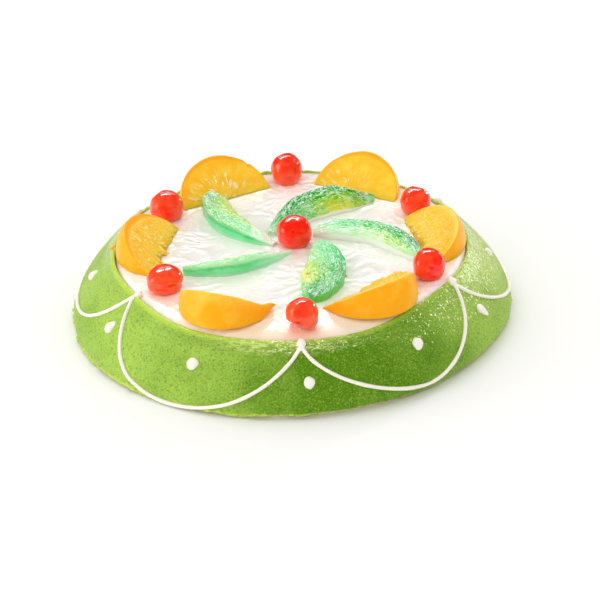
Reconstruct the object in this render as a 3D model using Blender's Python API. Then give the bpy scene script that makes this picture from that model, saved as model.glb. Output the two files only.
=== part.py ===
"""Cassata: a low round cake under marzipan, iced on top and dressed with candied fruit.

Metres, +Z up. The cake stands on Z = 0 with its middle at the origin and its front towards -Y.
Angles run anticlockwise from +X, seen from above.
"""

import math

import bmesh
import bpy
from mathutils import Matrix, Vector, noise
from mathutils.bvhtree import BVHTree

MM = 0.001
GAP = 0.3 * MM

# Body: a domed wall of marzipan from the board up to the rim, with a tray for the icing
SEGMENTS = 84
BULGE_RADIUS = 130.0 * MM
BULGE_HEIGHT = 8.5 * MM
RIM_RADIUS = 104.8 * MM
RIM_HEIGHT = 42.2 * MM
DOME_POWER = 1.33
WALL_HEIGHTS = [h * MM for h in (5.0, 8.5, 12.5, 16.5, 20.5, 24.5, 28.5, 32.5, 36.5, 39.5)]
SKIRT_HEIGHT = 0.8 * MM
SKIRT_THICKNESS = 2.6 * MM
TRAY_RADIUS = 103.3 * MM
TRAY_FLOOR = 38.2 * MM

# How the cake departs from round: it sags at the front, and its foot is tucked in at the front right
SAG_ANGLE, SAG_FULL, SAG_END = math.radians(-96), math.radians(22), math.radians(60)
SAG_DROP, SAG_SPREAD = 3.8 * MM, 4.3 * MM
SAG_FROM_RADIUS, SAG_FROM_HEIGHT = 84.0 * MM, 24.0 * MM
TUCK_ANGLE, TUCK_LEFT, TUCK_RIGHT = math.radians(-37), math.radians(33), math.radians(18)
TUCK_DEPTH, FOOT_SPREAD = 6.0 * MM, 0.9 * MM
LUMP_DEPTH = 0.5 * MM
RAGGED_RISE, RAGGED_DEPTH = 1.5 * MM, 0.9 * MM
LIFT_ANGLE, LIFT_WIDTH = math.radians(-82), math.radians(15)

# Sponge layer that the wall stands on, and the icing
SPONGE_INSET, SPONGE_HEIGHT = 3.9 * MM, 2.8 * MM
ICING_RADIUS, ICING_TOP = TRAY_RADIUS - GAP, 42.0 * MM

# Piping: six swags between six rim nodes, a drop inside each swag and one under each node
LINE_RADIUS = 1.45 * MM
LINE_PROUD = 0.45 * MM
SWAG_STEPS = 26
NODE_RADIUS = 2.3 * MM
DROP_RADIUS, DROP_HEIGHT = 3.3 * MM, 2.3 * MM
# start and end angle, start and end height, depth, skew in degrees, squareness down and along
SWAGS = (
    (-147.5, -87.6, 41.0, 38.0, 38.4, -5.5, 1.57, 0.93),
    (-87.6, -29.7, 38.0, 41.4, 34.0, 4.8, 1.29, 1.37),
    (-29.7, 30.5, 41.4, 41.4, 28.8, -1.5, 1.49, 1.31),
    (30.5, 91.0, 41.4, 41.4, 32.0, 3.0, 1.45, 1.10),
    (91.0, 150.5, 41.4, 41.4, 30.0, -3.0, 1.55, 1.05),
    (150.5, 212.5, 41.4, 41.0, 26.2, 2.1, 2.30, 0.85),
)
# angle and height
DROPS = (
    (-117.6, 24.7), (-54.2, 27.1), (4.4, 28.5), (61.0, 26.5), (121.5, 27.5), (182.0, 28.2),
    (-86.1, 20.4), (-26.6, 24.4), (32.0, 22.5), (90.0, 23.5), (151.5, 22.0), (210.4, 24.1),
)

# Cherries: place, half width, half height
CHERRY_RINGS, CHERRY_SEGMENTS = 7, 12
CHERRY_DIMPLE = 0.12
CHERRIES = {
    "cherry_centre": (2.9, 1.3, 10.4, 9.7),
    "cherry_front": (5.6, -97.6, 9.3, 8.9),
    "cherry_front_right": (78.9, -46.3, 9.2, 9.4),
    "cherry_back_right": (76.4, 38.6, 9.3, 8.8),
    "cherry_back": (-0.8, 88.3, 9.8, 9.9),
    "cherry_back_left": (-73.9, 42.2, 10.2, 9.4),
    "cherry_front_left": (-71.6, -51.2, 10.5, 7.9),
}

# Orange wedges: place and height of the core edge, its heading, half length, depth of the cut
# faces, tilt of the lower and of the upper cut face
WEDGE_STEPS, WEDGE_ARC = 12, 5
WEDGE_CORE = 0.7 * MM
WEDGES = {
    "orange_back_left": (-37.4, 64.8, 42.6, 28.3, 29.5, 29.8, 0.0, 44.0),
    "orange_back_right": (39.8, 67.6, 42.6, -31.9, 28.3, 28.6, 0.0, 42.0),
    "orange_right": (75.4, -1.6, 42.6, 102.0, 31.8, 27.8, 0.0, 34.0),
    "orange_front_right": (41.8, -62.4, 42.4, 35.0, 30.2, 32.4, -1.5, 34.0),
    "orange_front_left": (-34.6, -69.6, 42.5, -23.0, 28.3, 30.6, -2.0, 37.6),
    "orange_left": (-73.5, -4.3, 42.6, 77.3, 31.4, 28.9, 0.0, 39.6),
}

# Citron leaves: inner end, outer end, bow to the left, half width, place of the widest point, share
# of that width at the inner end, bluntness of the outer end, thickness at the inner end, in the
# middle and at the outer end, and how much more of it the left side has than the right
LEAF_STEPS = 16
LEAF_SECTION = (
    (-0.97, 0.0), (-1.0, 0.86), (-0.6, 0.97), (0.0, 1.0), (0.6, 0.97), (1.0, 0.86), (0.97, 0.0),
)
LEAVES = {
    "citron_left_back": ((-9.0, 0.0), (-46.5, 57.6), 10.0, 8.0, 0.55, 0.45, 2.9, 3.0, 8.6, 7.6, 0.0),
    "citron_back": ((-10.9, 13.4), (51.4, 56.6), 9.2, 9.4, 0.62, 0.38, 2.1, 3.6, 10.2, 3.6, 0.25),
    "citron_right": ((13.8, 14.2), (74.6, -26.5), 13.0, 8.7, 0.48, 0.36, 2.2, 4.4, 7.6, 6.0, 0.0),
    "citron_front": ((14.5, -7.0), (11.7, -73.9), 6.4, 11.9, 0.66, 0.32, 2.5, 6.0, 5.6, 2.2, 0.0),
    "citron_left": ((0.2, -11.0), (-61.8, -33.0), 9.0, 5.1, 0.60, 0.14, 2.0, 3.3, 7.8, 5.0, 0.0),
}


def smooth(low, high, value):
    """Ease from 0 at low to 1 at high."""
    share = min(1.0, max(0.0, (value - low) / (high - low)))
    return share * share * (3.0 - 2.0 * share)


def turn(angle, towards):
    """The signed angle between two headings, within half a turn."""
    return (angle - towards + math.pi) % (2.0 * math.pi) - math.pi


def wall_radius(height):
    """Radius of the plain round wall at a height."""
    share = max(0.0, (height - BULGE_HEIGHT) / (RIM_HEIGHT - BULGE_HEIGHT))
    return BULGE_RADIUS - (BULGE_RADIUS - RIM_RADIUS) * share**DOME_POWER


def tuck(angle):
    """How far the foot is drawn in at an angle: below zero, it spreads."""
    off = turn(angle, TUCK_ANGLE)
    width = TUCK_RIGHT if off > 0 else TUCK_LEFT
    return TUCK_DEPTH * math.exp(-0.5 * (off / width) ** 2) - FOOT_SPREAD


def settled(point):
    """Where a point of a perfectly round cake lies on the uneven one."""
    radius, angle, height = math.hypot(point.x, point.y), math.atan2(point.y, point.x), point.z
    if radius < 1e-6:
        return point.copy()
    sag = 1.0 - smooth(SAG_FULL, SAG_END, abs(turn(angle, SAG_ANGLE)))
    sag *= smooth(SAG_FROM_RADIUS, RIM_RADIUS, radius)
    sag *= smooth(SAG_FROM_HEIGHT, RIM_HEIGHT - 4.0 * MM, height)
    outer = smooth(70.0 * MM, 100.0 * MM, radius)
    foot = max(0.0, 1.0 - height / BULGE_HEIGHT) ** 2
    lumps = math.sin(3.0 * angle + 0.6) + 0.7 * math.sin(5.0 * angle + 2.1)
    radius += SAG_SPREAD * sag - tuck(angle) * foot * outer + LUMP_DEPTH * lumps * outer * 0.6
    height -= SAG_DROP * sag
    return Vector((radius * math.cos(angle), radius * math.sin(angle), height))


def add_object(name, mesh, material=None):
    """Put a mesh in the scene as a named object."""
    obj = bpy.data.objects.new(name, mesh)
    bpy.context.scene.collection.objects.link(obj)
    if material:
        mesh.materials.append(material)
    return obj


def mesh_of(bm, name):
    """Close a bmesh up, face it outwards and make it a mesh."""
    bmesh.ops.remove_doubles(bm, verts=bm.verts, dist=1e-6)
    bmesh.ops.recalc_face_normals(bm, faces=bm.faces)
    if bm.calc_volume(signed=True) < 0:
        bmesh.ops.reverse_faces(bm, faces=bm.faces)
    mesh = bpy.data.meshes.new(name)
    bm.to_mesh(mesh)
    bm.free()
    return mesh


def spun(profile, segments=SEGMENTS):
    """A round solid from (radius, height) pairs that start and end on the axis."""
    bm = bmesh.new()
    points = [bm.verts.new((radius, 0.0, height)) for radius, height in profile]
    edges = [bm.edges.new(pair) for pair in zip(points, points[1:])]
    bmesh.ops.spin(
        bm,
        geom=points + edges,
        axis=(0.0, 0.0, 1.0),
        cent=(0.0, 0.0, 0.0),
        angle=2.0 * math.pi,
        steps=segments,
        use_merge=True,
        use_duplicate=False,
    )
    bmesh.ops.remove_doubles(bm, verts=bm.verts, dist=1e-6)
    return bm


def loft(bm, sections, first=None, last=None):
    """Skin closed sections of equal length, with a point or a flat face at either end."""
    rings = [[bm.verts.new(point) for point in section] for section in sections]
    count = len(rings[0])
    for ring, following in zip(rings, rings[1:]):
        for i in range(count):
            j = (i + 1) % count
            bm.faces.new((ring[i], ring[j], following[j], following[i]))
    for end, ring in ((first, rings[0]), (last, rings[-1])):
        if end is None:
            bm.faces.new(ring)
            continue
        tip = bm.verts.new(end)
        for i in range(count):
            bm.faces.new((ring[i], ring[(i + 1) % count], tip))
    return bm


def make_body():
    """The marzipan wall and all that it covers, one solid, without its piping."""
    profile = [
        (0.0, SPONGE_HEIGHT + GAP),
        (70.0 * MM, SPONGE_HEIGHT + GAP),
        (BULGE_RADIUS - 3.2 * MM, SPONGE_HEIGHT + GAP),
        (BULGE_RADIUS - SKIRT_THICKNESS, SKIRT_HEIGHT),
        (BULGE_RADIUS - 0.4 * MM, SKIRT_HEIGHT),
    ]
    profile += [(wall_radius(height), height) for height in WALL_HEIGHTS]
    profile += [
        (RIM_RADIUS + 0.5 * MM, 41.6 * MM),
        (RIM_RADIUS - 0.4 * MM, RIM_HEIGHT),
        (TRAY_RADIUS + 0.1 * MM, 41.8 * MM),
        (TRAY_RADIUS, 40.6 * MM),
        (TRAY_RADIUS, TRAY_FLOOR),
        (97.0 * MM, TRAY_FLOOR),
        (91.0 * MM, TRAY_FLOOR),
        (84.0 * MM, TRAY_FLOOR),
        (0.0, TRAY_FLOOR),
    ]
    bm = spun(profile)
    for vert in bm.verts:
        ragged = vert.co.z < SKIRT_HEIGHT + 1e-6
        angle = math.atan2(vert.co.y, vert.co.x)
        vert.co = settled(vert.co)
        if ragged:
            crag = noise.noise(Vector((9.0 * math.cos(angle), 9.0 * math.sin(angle), 0.3)))
            lift = math.exp(-0.5 * (turn(angle, LIFT_ANGLE) / LIFT_WIDTH) ** 4)
            vert.co.z += min(2.2 * MM, RAGGED_RISE * max(0.0, 0.35 + crag) + 2.2 * MM * lift)
            vert.co += vert.co.to_2d().normalized().to_3d() * RAGGED_DEPTH * crag
    return bm


class Wall:
    """Finds places on the outside of the settled wall."""

    def __init__(self, bm):
        self.tree = BVHTree.FromBMesh(bm)

    def at(self, angle, height, proud=0.0):
        """The point at an angle and height, and the way out of the wall there."""
        out = Vector((math.cos(angle), math.sin(angle), 0.0))
        start = out * 0.2 + Vector((0.0, 0.0, height))
        point = self.tree.ray_cast(start, -out)[0]
        slope = 0.6 * MM
        rise = wall_radius(height + slope) - wall_radius(height - slope)
        normal = (out * 2.0 * slope - Vector((0.0, 0.0, 1.0)) * rise).normalized()
        return point + normal * proud, normal


def swag_points(wall, swag):
    """The middle of one piped swag, along the wall."""
    start, end, high, low, depth, skew, down, along = swag
    middle, half = (start + end) / 2.0, (end - start) / 2.0
    points = []
    for step in range(SWAG_STEPS + 1):
        share = math.pi * step / SWAG_STEPS
        reach = math.cos(share)
        reach = math.copysign(abs(reach) ** along, reach)
        angle = middle - half * reach + skew * math.sin(share) ** 2
        height = high + (low - high) * (1.0 - math.cos(share)) / 2.0
        height -= depth * max(0.0, math.sin(share)) ** down
        points.append(wall.at(math.radians(angle), max(1.9, height) * MM, LINE_PROUD)[0])
    return points


def evened(points, count):
    """The same path, its points an equal way apart."""
    lengths = [0.0]
    for here, there in zip(points, points[1:]):
        lengths.append(lengths[-1] + (there - here).length)
    even, at = [], 0
    for step in range(count):
        want = lengths[-1] * step / (count - 1)
        while at < len(points) - 2 and lengths[at + 1] < want:
            at += 1
        share = (want - lengths[at]) / (lengths[at + 1] - lengths[at])
        even.append(points[at].lerp(points[at + 1], min(1.0, share)))
    return even


def piped_line(name, points):
    """A round bead of icing along a path, as a closed mesh."""
    curve = bpy.data.curves.new(name, "CURVE")
    curve.dimensions = "3D"
    curve.bevel_depth = LINE_RADIUS
    curve.bevel_resolution = 1
    curve.use_fill_caps = True
    spline = curve.splines.new("POLY")
    spline.points.add(len(points) - 1)
    for i, (target, point) in enumerate(zip(spline.points, points)):
        target.co = (*point, 1.0)
        target.radius = 1.0 + 0.12 * math.sin(2.3 * i + point.x * 90.0)
    obj = bpy.data.objects.new(name, curve)
    bpy.context.scene.collection.objects.link(obj)
    evaluated = obj.evaluated_get(bpy.context.evaluated_depsgraph_get())
    bm = bmesh.new()
    bm.from_mesh(bpy.data.meshes.new_from_object(evaluated))
    bpy.data.objects.remove(obj)
    bmesh.ops.remove_doubles(bm, verts=bm.verts, dist=1e-5)
    return mesh_of(bm, name)


def bead(name, place, normal, radius, height):
    """A drop of icing that sits on the wall."""
    bm = bmesh.new()
    bmesh.ops.create_uvsphere(bm, u_segments=9, v_segments=6, radius=1.0)
    turn_out = normal.to_track_quat("Z", "Y").to_matrix().to_4x4()
    size = Matrix.Diagonal((radius, radius, height, 1.0))
    bm.transform(Matrix.Translation(place) @ turn_out @ size)
    return mesh_of(bm, name)


def pipe_the_wall(body, wall):
    """Fuse the swags, their nodes and the drops to the marzipan."""
    piping = bpy.data.collections.new("piping")
    bpy.context.scene.collection.children.link(piping)

    def keep(name, mesh):
        piping.objects.link(bpy.data.objects.new(name, mesh))

    for i, swag in enumerate(SWAGS):
        line = evened(swag_points(wall, swag), SWAG_STEPS)
        keep(f"line_{i}", piped_line(f"line_{i}", line))
        place, normal = wall.at(math.radians(swag[0]), swag[2] * MM, 0.2 * MM)
        keep(f"node_{i}", bead(f"node_{i}", place, normal, NODE_RADIUS, NODE_RADIUS * 0.8))
    for i, (angle, height) in enumerate(DROPS):
        place, normal = wall.at(math.radians(angle), height * MM)
        keep(f"drop_{i}", bead(f"drop_{i}", place, normal, DROP_RADIUS, DROP_HEIGHT))

    union = body.modifiers.new("piping", "BOOLEAN")
    union.operation = "UNION"
    union.operand_type = "COLLECTION"
    union.collection = piping
    union.solver = "MANIFOLD"
    evaluated = body.evaluated_get(bpy.context.evaluated_depsgraph_get())
    joined = bpy.data.meshes.new_from_object(evaluated)
    body.modifiers.clear()
    body.data = joined
    for obj in list(piping.objects):
        bpy.data.objects.remove(obj)
    bpy.data.collections.remove(piping)


def make_icing():
    """The poured icing, which fills the tray and rolls over at its edge."""
    profile = [
        (0.0, TRAY_FLOOR + GAP),
        (84.0 * MM, TRAY_FLOOR + GAP),
        (91.0 * MM, TRAY_FLOOR + GAP),
        (97.0 * MM, TRAY_FLOOR + GAP),
        (ICING_RADIUS, TRAY_FLOOR + GAP),
        (ICING_RADIUS, 40.4 * MM),
        (ICING_RADIUS - 0.7 * MM, 41.3 * MM),
        (ICING_RADIUS - 2.6 * MM, 41.8 * MM),
        (97.0 * MM, ICING_TOP),
        (91.0 * MM, ICING_TOP),
        (84.0 * MM, ICING_TOP),
        (0.0, ICING_TOP),
    ]
    bm = spun(profile)
    for vert in bm.verts:
        vert.co = settled(vert.co)
    return bm


def make_sponge():
    """The thin sponge layer at the foot, which shows where the marzipan is lifted."""
    edge = BULGE_RADIUS - SPONGE_INSET
    profile = [
        (0.0, 0.0),
        (70.0 * MM, 0.0),
        (edge - 0.4 * MM, 0.0),
        (edge, 1.2 * MM),
        (edge - 0.2 * MM, SPONGE_HEIGHT),
        (70.0 * MM, SPONGE_HEIGHT),
        (0.0, SPONGE_HEIGHT),
    ]
    bm = spun(profile)
    for vert in bm.verts:
        vert.co = settled(vert.co)
    return bm


def top_under(tree, x, y, reach):
    """The highest point of the icing under a small thing at x, y."""
    highest = 0.0
    for i in range(13):
        out = 0.0 if i == 12 else reach
        start = Vector((x + out * math.cos(i * math.pi / 6), y + out * math.sin(i * math.pi / 6), 0.1))
        hit = tree.ray_cast(start, Vector((0.0, 0.0, -1.0)))[0]
        if hit:
            highest = max(highest, hit.z)
    return highest


def make_cherry(place, icing, seed):
    """One candied cherry, flat where it rests, with a dimple where its stem was."""
    x, y, wide, high = (value * MM for value in place)
    floor = top_under(icing, x, y, wide * 0.55) + GAP
    bm = bmesh.new()
    bmesh.ops.create_uvsphere(
        bm, u_segments=CHERRY_SEGMENTS, v_segments=CHERRY_RINGS, radius=1.0
    )
    dimple = Vector((math.cos(1.9 * seed), math.sin(1.9 * seed) - 0.4, 0.35)).normalized()
    for vert in bm.verts:
        way = vert.co.normalized()
        uneven = 1.0 + 0.05 * noise.noise(way * 1.4 + Vector((seed * 3.1, 0.0, 0.0)))
        uneven -= CHERRY_DIMPLE * smooth(0.86, 1.0, way.dot(dimple))
        vert.co = Vector((way.x * wide, way.y * wide, way.z * high)) * uneven
        vert.co.z = max(vert.co.z, -0.86 * high)
    bm.transform(Matrix.Translation((x, y, floor + 0.86 * high)))
    return bm


def make_wedge(size, seed):
    """One wedge of candied orange: two cut faces that meet at the core, and the skin between."""
    x, y, z, heading, half_length, depth, low, high = size
    along = Vector((math.cos(math.radians(heading)), math.sin(math.radians(heading)), 0.0))
    out = Vector((along.y, -along.x, 0.0))
    if out.dot(Vector((x, y, 0.0))) < 0:
        out.negate()
    up = Vector((0.0, 0.0, 1.0))
    core = Vector((x, y, z)) * MM
    sections = []
    for step in range(1, WEDGE_STEPS):
        share = -math.cos(math.pi * step / WEDGE_STEPS)
        reach = depth * MM * math.sqrt(1.0 - share * share)
        middle = core + along * (half_length * MM * share)
        ring = [middle, middle + up * WEDGE_CORE]
        for i in range(WEDGE_ARC, -1, -1):
            lift = math.radians(low + (high - low) * i / WEDGE_ARC)
            way = out * math.cos(lift) + up * math.sin(lift)
            uneven = 1.0 + 0.03 * noise.noise(way * 2.0 + along * share * 1.5 + up * seed * 2.7)
            ring.append(middle + way * reach * uneven)
        sections.append(ring)
    tips = [core + along * (half_length * MM * end) + up * 0.3 * MM for end in (-1.0, 1.0)]
    return loft(bmesh.new(), sections, tips[0], tips[1])


def make_leaf(size, floor, seed):
    """One slice of candied citron, cut like a leaf: flat below, sides upright, its top domed."""
    inner, outer, bow, half_width, widest, inner_share, blunt, low, tall, end_tall, lean = size
    start, end = Vector((*inner, 0.0)), Vector((*outer, 0.0))
    along = (end - start).normalized()
    left = Vector((-along.y, along.x, 0.0))
    sections = []
    for step in range(LEAF_STEPS + 1):
        share = 0.5 - 0.5 * math.cos(math.pi * step / LEAF_STEPS)
        if step == LEAF_STEPS:
            share = 0.997
        middle = start.lerp(end, share) + left * bow * math.sin(math.pi * share)
        run = along * (end - start).length + left * bow * math.pi * math.cos(math.pi * share)
        side = Vector((-run.y, run.x, 0.0)).normalized()
        if share < widest:
            width = inner_share + (1.0 - inner_share) * math.sin(0.5 * math.pi * share / widest)
        else:
            width = math.sqrt(1.0 - ((share - widest) / (1.0 - widest)) ** blunt)
        thick = low + (tall - low) * smooth(0.0, 0.4, share)
        thick += (end_tall - tall) * smooth(0.65, 1.0, share)
        thick *= 1.0 + 0.06 * noise.noise(Vector((share * 5.0, seed * 1.7, 0.0)))
        ring = []
        for across, lift in LEAF_SECTION:
            point = middle + side * half_width * width * across
            height = floor / MM + thick * lift * (1.0 + lean * across)
            ring.append(Vector((point.x, point.y, height)) * MM)
        sections.append(ring)
    return loft(bmesh.new(), sections)


def food(name, colour, roughness):
    """A plain food colour."""
    material = bpy.data.materials.new(name)
    material.use_nodes = True
    shader = material.node_tree.nodes["Principled BSDF"]
    shader.inputs["Base Color"].default_value = (*colour, 1.0)
    shader.inputs["Roughness"].default_value = roughness
    material.diffuse_color = (*colour, 1.0)
    return material


def stand_on_origin(objects):
    """Move everything so that the middle of its bounding box is over the origin."""
    points = [vert.co for obj in objects for vert in obj.data.vertices]
    middle = Vector((0.0, 0.0, 0.0))
    for axis in (0, 1):
        values = [point[axis] for point in points]
        middle[axis] = (min(values) + max(values)) / 2.0
    for obj in objects:
        obj.data.transform(Matrix.Translation(-middle))
    print(f"moved by {-middle.x / MM:.3f}, {-middle.y / MM:.3f} mm")


def main():
    """Build the cake, then lay the fruit on it."""
    for old in list(bpy.data.objects):
        bpy.data.objects.remove(old)
    home = bpy.data.collections.new("cassata")

    finishes = {
        "marzipan": food("marzipan", (0.26, 0.46, 0.05), 0.6),
        "sponge": food("sponge", (0.80, 0.62, 0.32), 0.8),
        "icing": food("icing", (0.90, 0.87, 0.82), 0.3),
        "cherry": food("cherry", (0.80, 0.04, 0.01), 0.15),
        "orange": food("orange", (0.95, 0.42, 0.03), 0.3),
        "citron": food("citron", (0.13, 0.55, 0.22), 0.4),
    }

    built = []
    body = make_body()
    wall = Wall(body)
    marzipan = add_object("marzipan", mesh_of(body, "marzipan"), finishes["marzipan"])
    pipe_the_wall(marzipan, wall)
    built.append(marzipan)
    built.append(add_object("sponge_base", mesh_of(make_sponge(), "sponge_base"), finishes["sponge"]))
    icing = make_icing()
    icing_top = BVHTree.FromBMesh(icing)
    built.append(add_object("icing", mesh_of(icing, "icing"), finishes["icing"]))

    for seed, (name, place) in enumerate(CHERRIES.items()):
        bm = make_cherry(place, icing_top, seed)
        built.append(add_object(name, mesh_of(bm, name), finishes["cherry"]))
    for seed, (name, size) in enumerate(WEDGES.items()):
        built.append(add_object(name, mesh_of(make_wedge(size, seed), name), finishes["orange"]))
    for seed, (name, size) in enumerate(LEAVES.items()):
        bm = make_leaf(size, ICING_TOP + GAP, seed)
        built.append(add_object(name, mesh_of(bm, name), finishes["citron"]))

    stand_on_origin(built)
    bpy.context.scene.collection.children.link(home)
    for obj in built:
        bpy.context.scene.collection.objects.unlink(obj)
        home.objects.link(obj)


main()
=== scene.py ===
"""Looks for the cassata: a low round cake under green marzipan, iced on top and dressed with candied fruit.

Metres, +Z up, the front of the cake towards -Y. Angles run anticlockwise from +X, seen from above.
"""

from __future__ import annotations

import logging
import math
from collections.abc import Callable, Sequence
from dataclasses import dataclass
from enum import Enum

import bmesh
import bpy
from mathutils import Matrix, Vector, noise
from mathutils.bvhtree import BVHTree


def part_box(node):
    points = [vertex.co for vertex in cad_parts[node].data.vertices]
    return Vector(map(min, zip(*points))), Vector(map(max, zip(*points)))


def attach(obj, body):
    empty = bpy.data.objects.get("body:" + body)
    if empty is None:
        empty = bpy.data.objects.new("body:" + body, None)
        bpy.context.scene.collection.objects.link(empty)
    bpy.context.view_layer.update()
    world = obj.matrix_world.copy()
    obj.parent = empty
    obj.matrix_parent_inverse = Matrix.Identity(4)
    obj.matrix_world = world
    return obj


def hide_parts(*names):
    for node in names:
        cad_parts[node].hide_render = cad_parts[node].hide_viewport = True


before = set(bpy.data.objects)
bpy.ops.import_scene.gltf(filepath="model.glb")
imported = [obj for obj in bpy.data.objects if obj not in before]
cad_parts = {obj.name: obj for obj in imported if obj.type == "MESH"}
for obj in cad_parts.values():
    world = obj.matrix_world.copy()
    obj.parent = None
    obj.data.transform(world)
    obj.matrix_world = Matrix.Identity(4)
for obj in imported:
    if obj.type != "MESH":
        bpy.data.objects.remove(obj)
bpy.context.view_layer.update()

LOG = logging.getLogger("cassata")
MM = 0.001
UP = Vector((0.0, 0.0, 1.0))
CAKE_MIDDLE = Vector((-0.111, 0.277, 0.0)) * MM
WELD = 0.5e-6

Colour = tuple[float, float, float]


def smooth(low: float, high: float, value: float) -> float:
    """Ease from 0 at low to 1 at high."""
    share = min(1.0, max(0.0, (value - low) / (high - low)))
    return share * share * (3.0 - 2.0 * share)


def mixed(first: float, second: float, share: float) -> float:
    """The value that lies a share of the way from first to second."""
    return first + (second - first) * share


def turn(angle: float, towards: float) -> float:
    """The signed angle between two headings, within half a turn."""
    return (angle - towards + math.pi) % (2.0 * math.pi) - math.pi


def near(value: float, middle: float, reach: float) -> float:
    """1 at the middle, falling off as a bell over the reach."""
    return math.exp(-(((value - middle) / reach) ** 2))


def bell(angle: float, degrees: float, spread: float) -> float:
    """1 at a heading, falling off as a bell to both sides of it; the heading and the spread in degrees."""
    return near(turn(angle, math.radians(degrees)), 0.0, math.radians(spread))


def ring(angle: float, scale: float, seed: float) -> float:
    """Smooth random values round the cake, finer as the scale grows."""
    return noise.noise(Vector((scale * math.cos(angle), scale * math.sin(angle), seed)))


def heading(degrees: float) -> Vector:
    """The level direction of an angle."""
    return Vector((math.cos(math.radians(degrees)), math.sin(math.radians(degrees)), 0.0))


def lumps(point: Vector, size: float, seed: float = 0.0, octaves: int = 3) -> float:
    """Smooth random lumps of about a size, from about -1 to 1.

    Args:
        point: Where to read them.
        size: How far apart the lumps are.
        seed: Picks another pattern.
        octaves: How many ever finer patterns are added up.

    Returns:
        The height of the pattern at the point.
    """
    return noise.fractal(point / size + Vector((seed * 7.31, seed * 1.7, 3.3)), 1.0, 2.0, octaves)


def placed(name: str, data: bpy.types.ID) -> bpy.types.Object:
    """A new object in the scene."""
    made = bpy.data.objects.new(name, data)
    bpy.context.scene.collection.objects.link(made)
    return made


def filled(name: str, bm: bmesh.types.BMesh, material: bpy.types.Material) -> bpy.types.Object:
    """A new object in the scene, of a mesh in the making, which this ends."""
    mesh = bpy.data.meshes.new(name)
    bm.to_mesh(mesh)
    bm.free()
    mesh.materials.append(material)
    return placed(name, mesh)


def shaped(thing: bpy.types.Object) -> bpy.types.Mesh:
    """The mesh of an object as its bevel or its modifiers shape it."""
    return bpy.data.meshes.new_from_object(thing.evaluated_get(bpy.context.evaluated_depsgraph_get()))


def relax(bm: bmesh.types.BMesh, verts: Sequence[bmesh.types.BMVert], times: int) -> None:
    """Round off the edges between some vertices of a mesh."""
    for _ in range(times):
        bmesh.ops.smooth_vert(bm, verts=verts, factor=0.5, use_axis_x=True, use_axis_y=True, use_axis_z=True)


class Slot(Enum):
    """The kinds of finish, each by name."""

    MARZIPAN = "marzipan"
    SPONGE = "sponge"
    ICING = "icing"
    CHERRY = "cherry"
    ORANGE = "orange"
    CITRON = "citron"


class Dye(Enum):
    """The colours that candied citron takes up, from one end of a slice to the other."""

    MINT = (0.22, 0.86, 0.40)
    PALE = (0.66, 0.94, 0.66)
    EMERALD = (0.02, 0.54, 0.17)
    LEAF = (0.12, 0.66, 0.06)
    LIME = (0.58, 0.76, 0.05)
    STRAW = (0.86, 0.84, 0.22)
    BROWN = (0.42, 0.38, 0.05)
    WATER = (0.90, 0.98, 0.86)


# ---------------------------------------------------------------------------------------------
# Finishes
# ---------------------------------------------------------------------------------------------


def translucent(weight: float, reach: Colour, scale: float) -> dict[str, object]:
    """The shader inputs for light that goes in and comes out a little way off."""
    return {"Subsurface_Weight": weight, "Subsurface_Radius": reach, "Subsurface_Scale": scale}


class Nodes:
    """A tree of shader nodes, put together a node at a time."""

    def __init__(self, tree: bpy.types.NodeTree) -> None:
        """Start from the nodes that the tree has."""
        self.tree = tree

    def add(self, kind: str, inputs: dict[str | int, object], **settings: object) -> bpy.types.Node:
        """Add a node.

        Args:
            kind: The node's Blender type.
            inputs: What each input holds, a value or another node's output.
            **settings: The node's own options.

        Returns:
            The node.
        """
        node = self.tree.nodes.new(kind)
        for name, value in settings.items():
            setattr(node, name, value)
        for name, value in inputs.items():
            self.feed(node.inputs[name], value)
        return node

    def feed(self, socket: bpy.types.NodeSocket, value: object) -> None:
        """Give an input a value, or link another node's output to it."""
        if isinstance(value, bpy.types.NodeSocket):
            self.tree.links.new(value, socket)
        elif isinstance(value, tuple) and len(value) == 3 and socket.type == "RGBA":
            socket.default_value = (*value, 1.0)
        else:
            socket.default_value = value

    def between(
        self, value: object, low: float, high: float, least: float = 0.0, most: float = 1.0
    ) -> bpy.types.NodeSocket:
        """Ease from least, where a value is low or less, to most, where it is high or more."""
        inputs = {"Value": value, "From Min": low, "From Max": high, "To Min": least, "To Max": most}
        return self.add("ShaderNodeMapRange", inputs, interpolation_type="SMOOTHSTEP").outputs["Result"]

    def blend(self, share: object, first: object, second: object) -> bpy.types.NodeSocket:
        """The colour a share of the way from the first to the second."""
        return self.add("ShaderNodeMix", {0: share, 6: first, 7: second}, data_type="RGBA").outputs[2]

    def sum(self, operation: str, first: object, second: object) -> bpy.types.NodeSocket:
        """One step of arithmetic on two values."""
        return self.add("ShaderNodeMath", {0: first, 1: second}, operation=operation).outputs[0]

    def plus(self, first: object, second: object) -> bpy.types.NodeSocket:
        """Two values added up."""
        return self.sum("ADD", first, second)

    def times(self, first: object, second: object) -> bpy.types.NodeSocket:
        """One value times another."""
        return self.sum("MULTIPLY", first, second)


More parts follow.
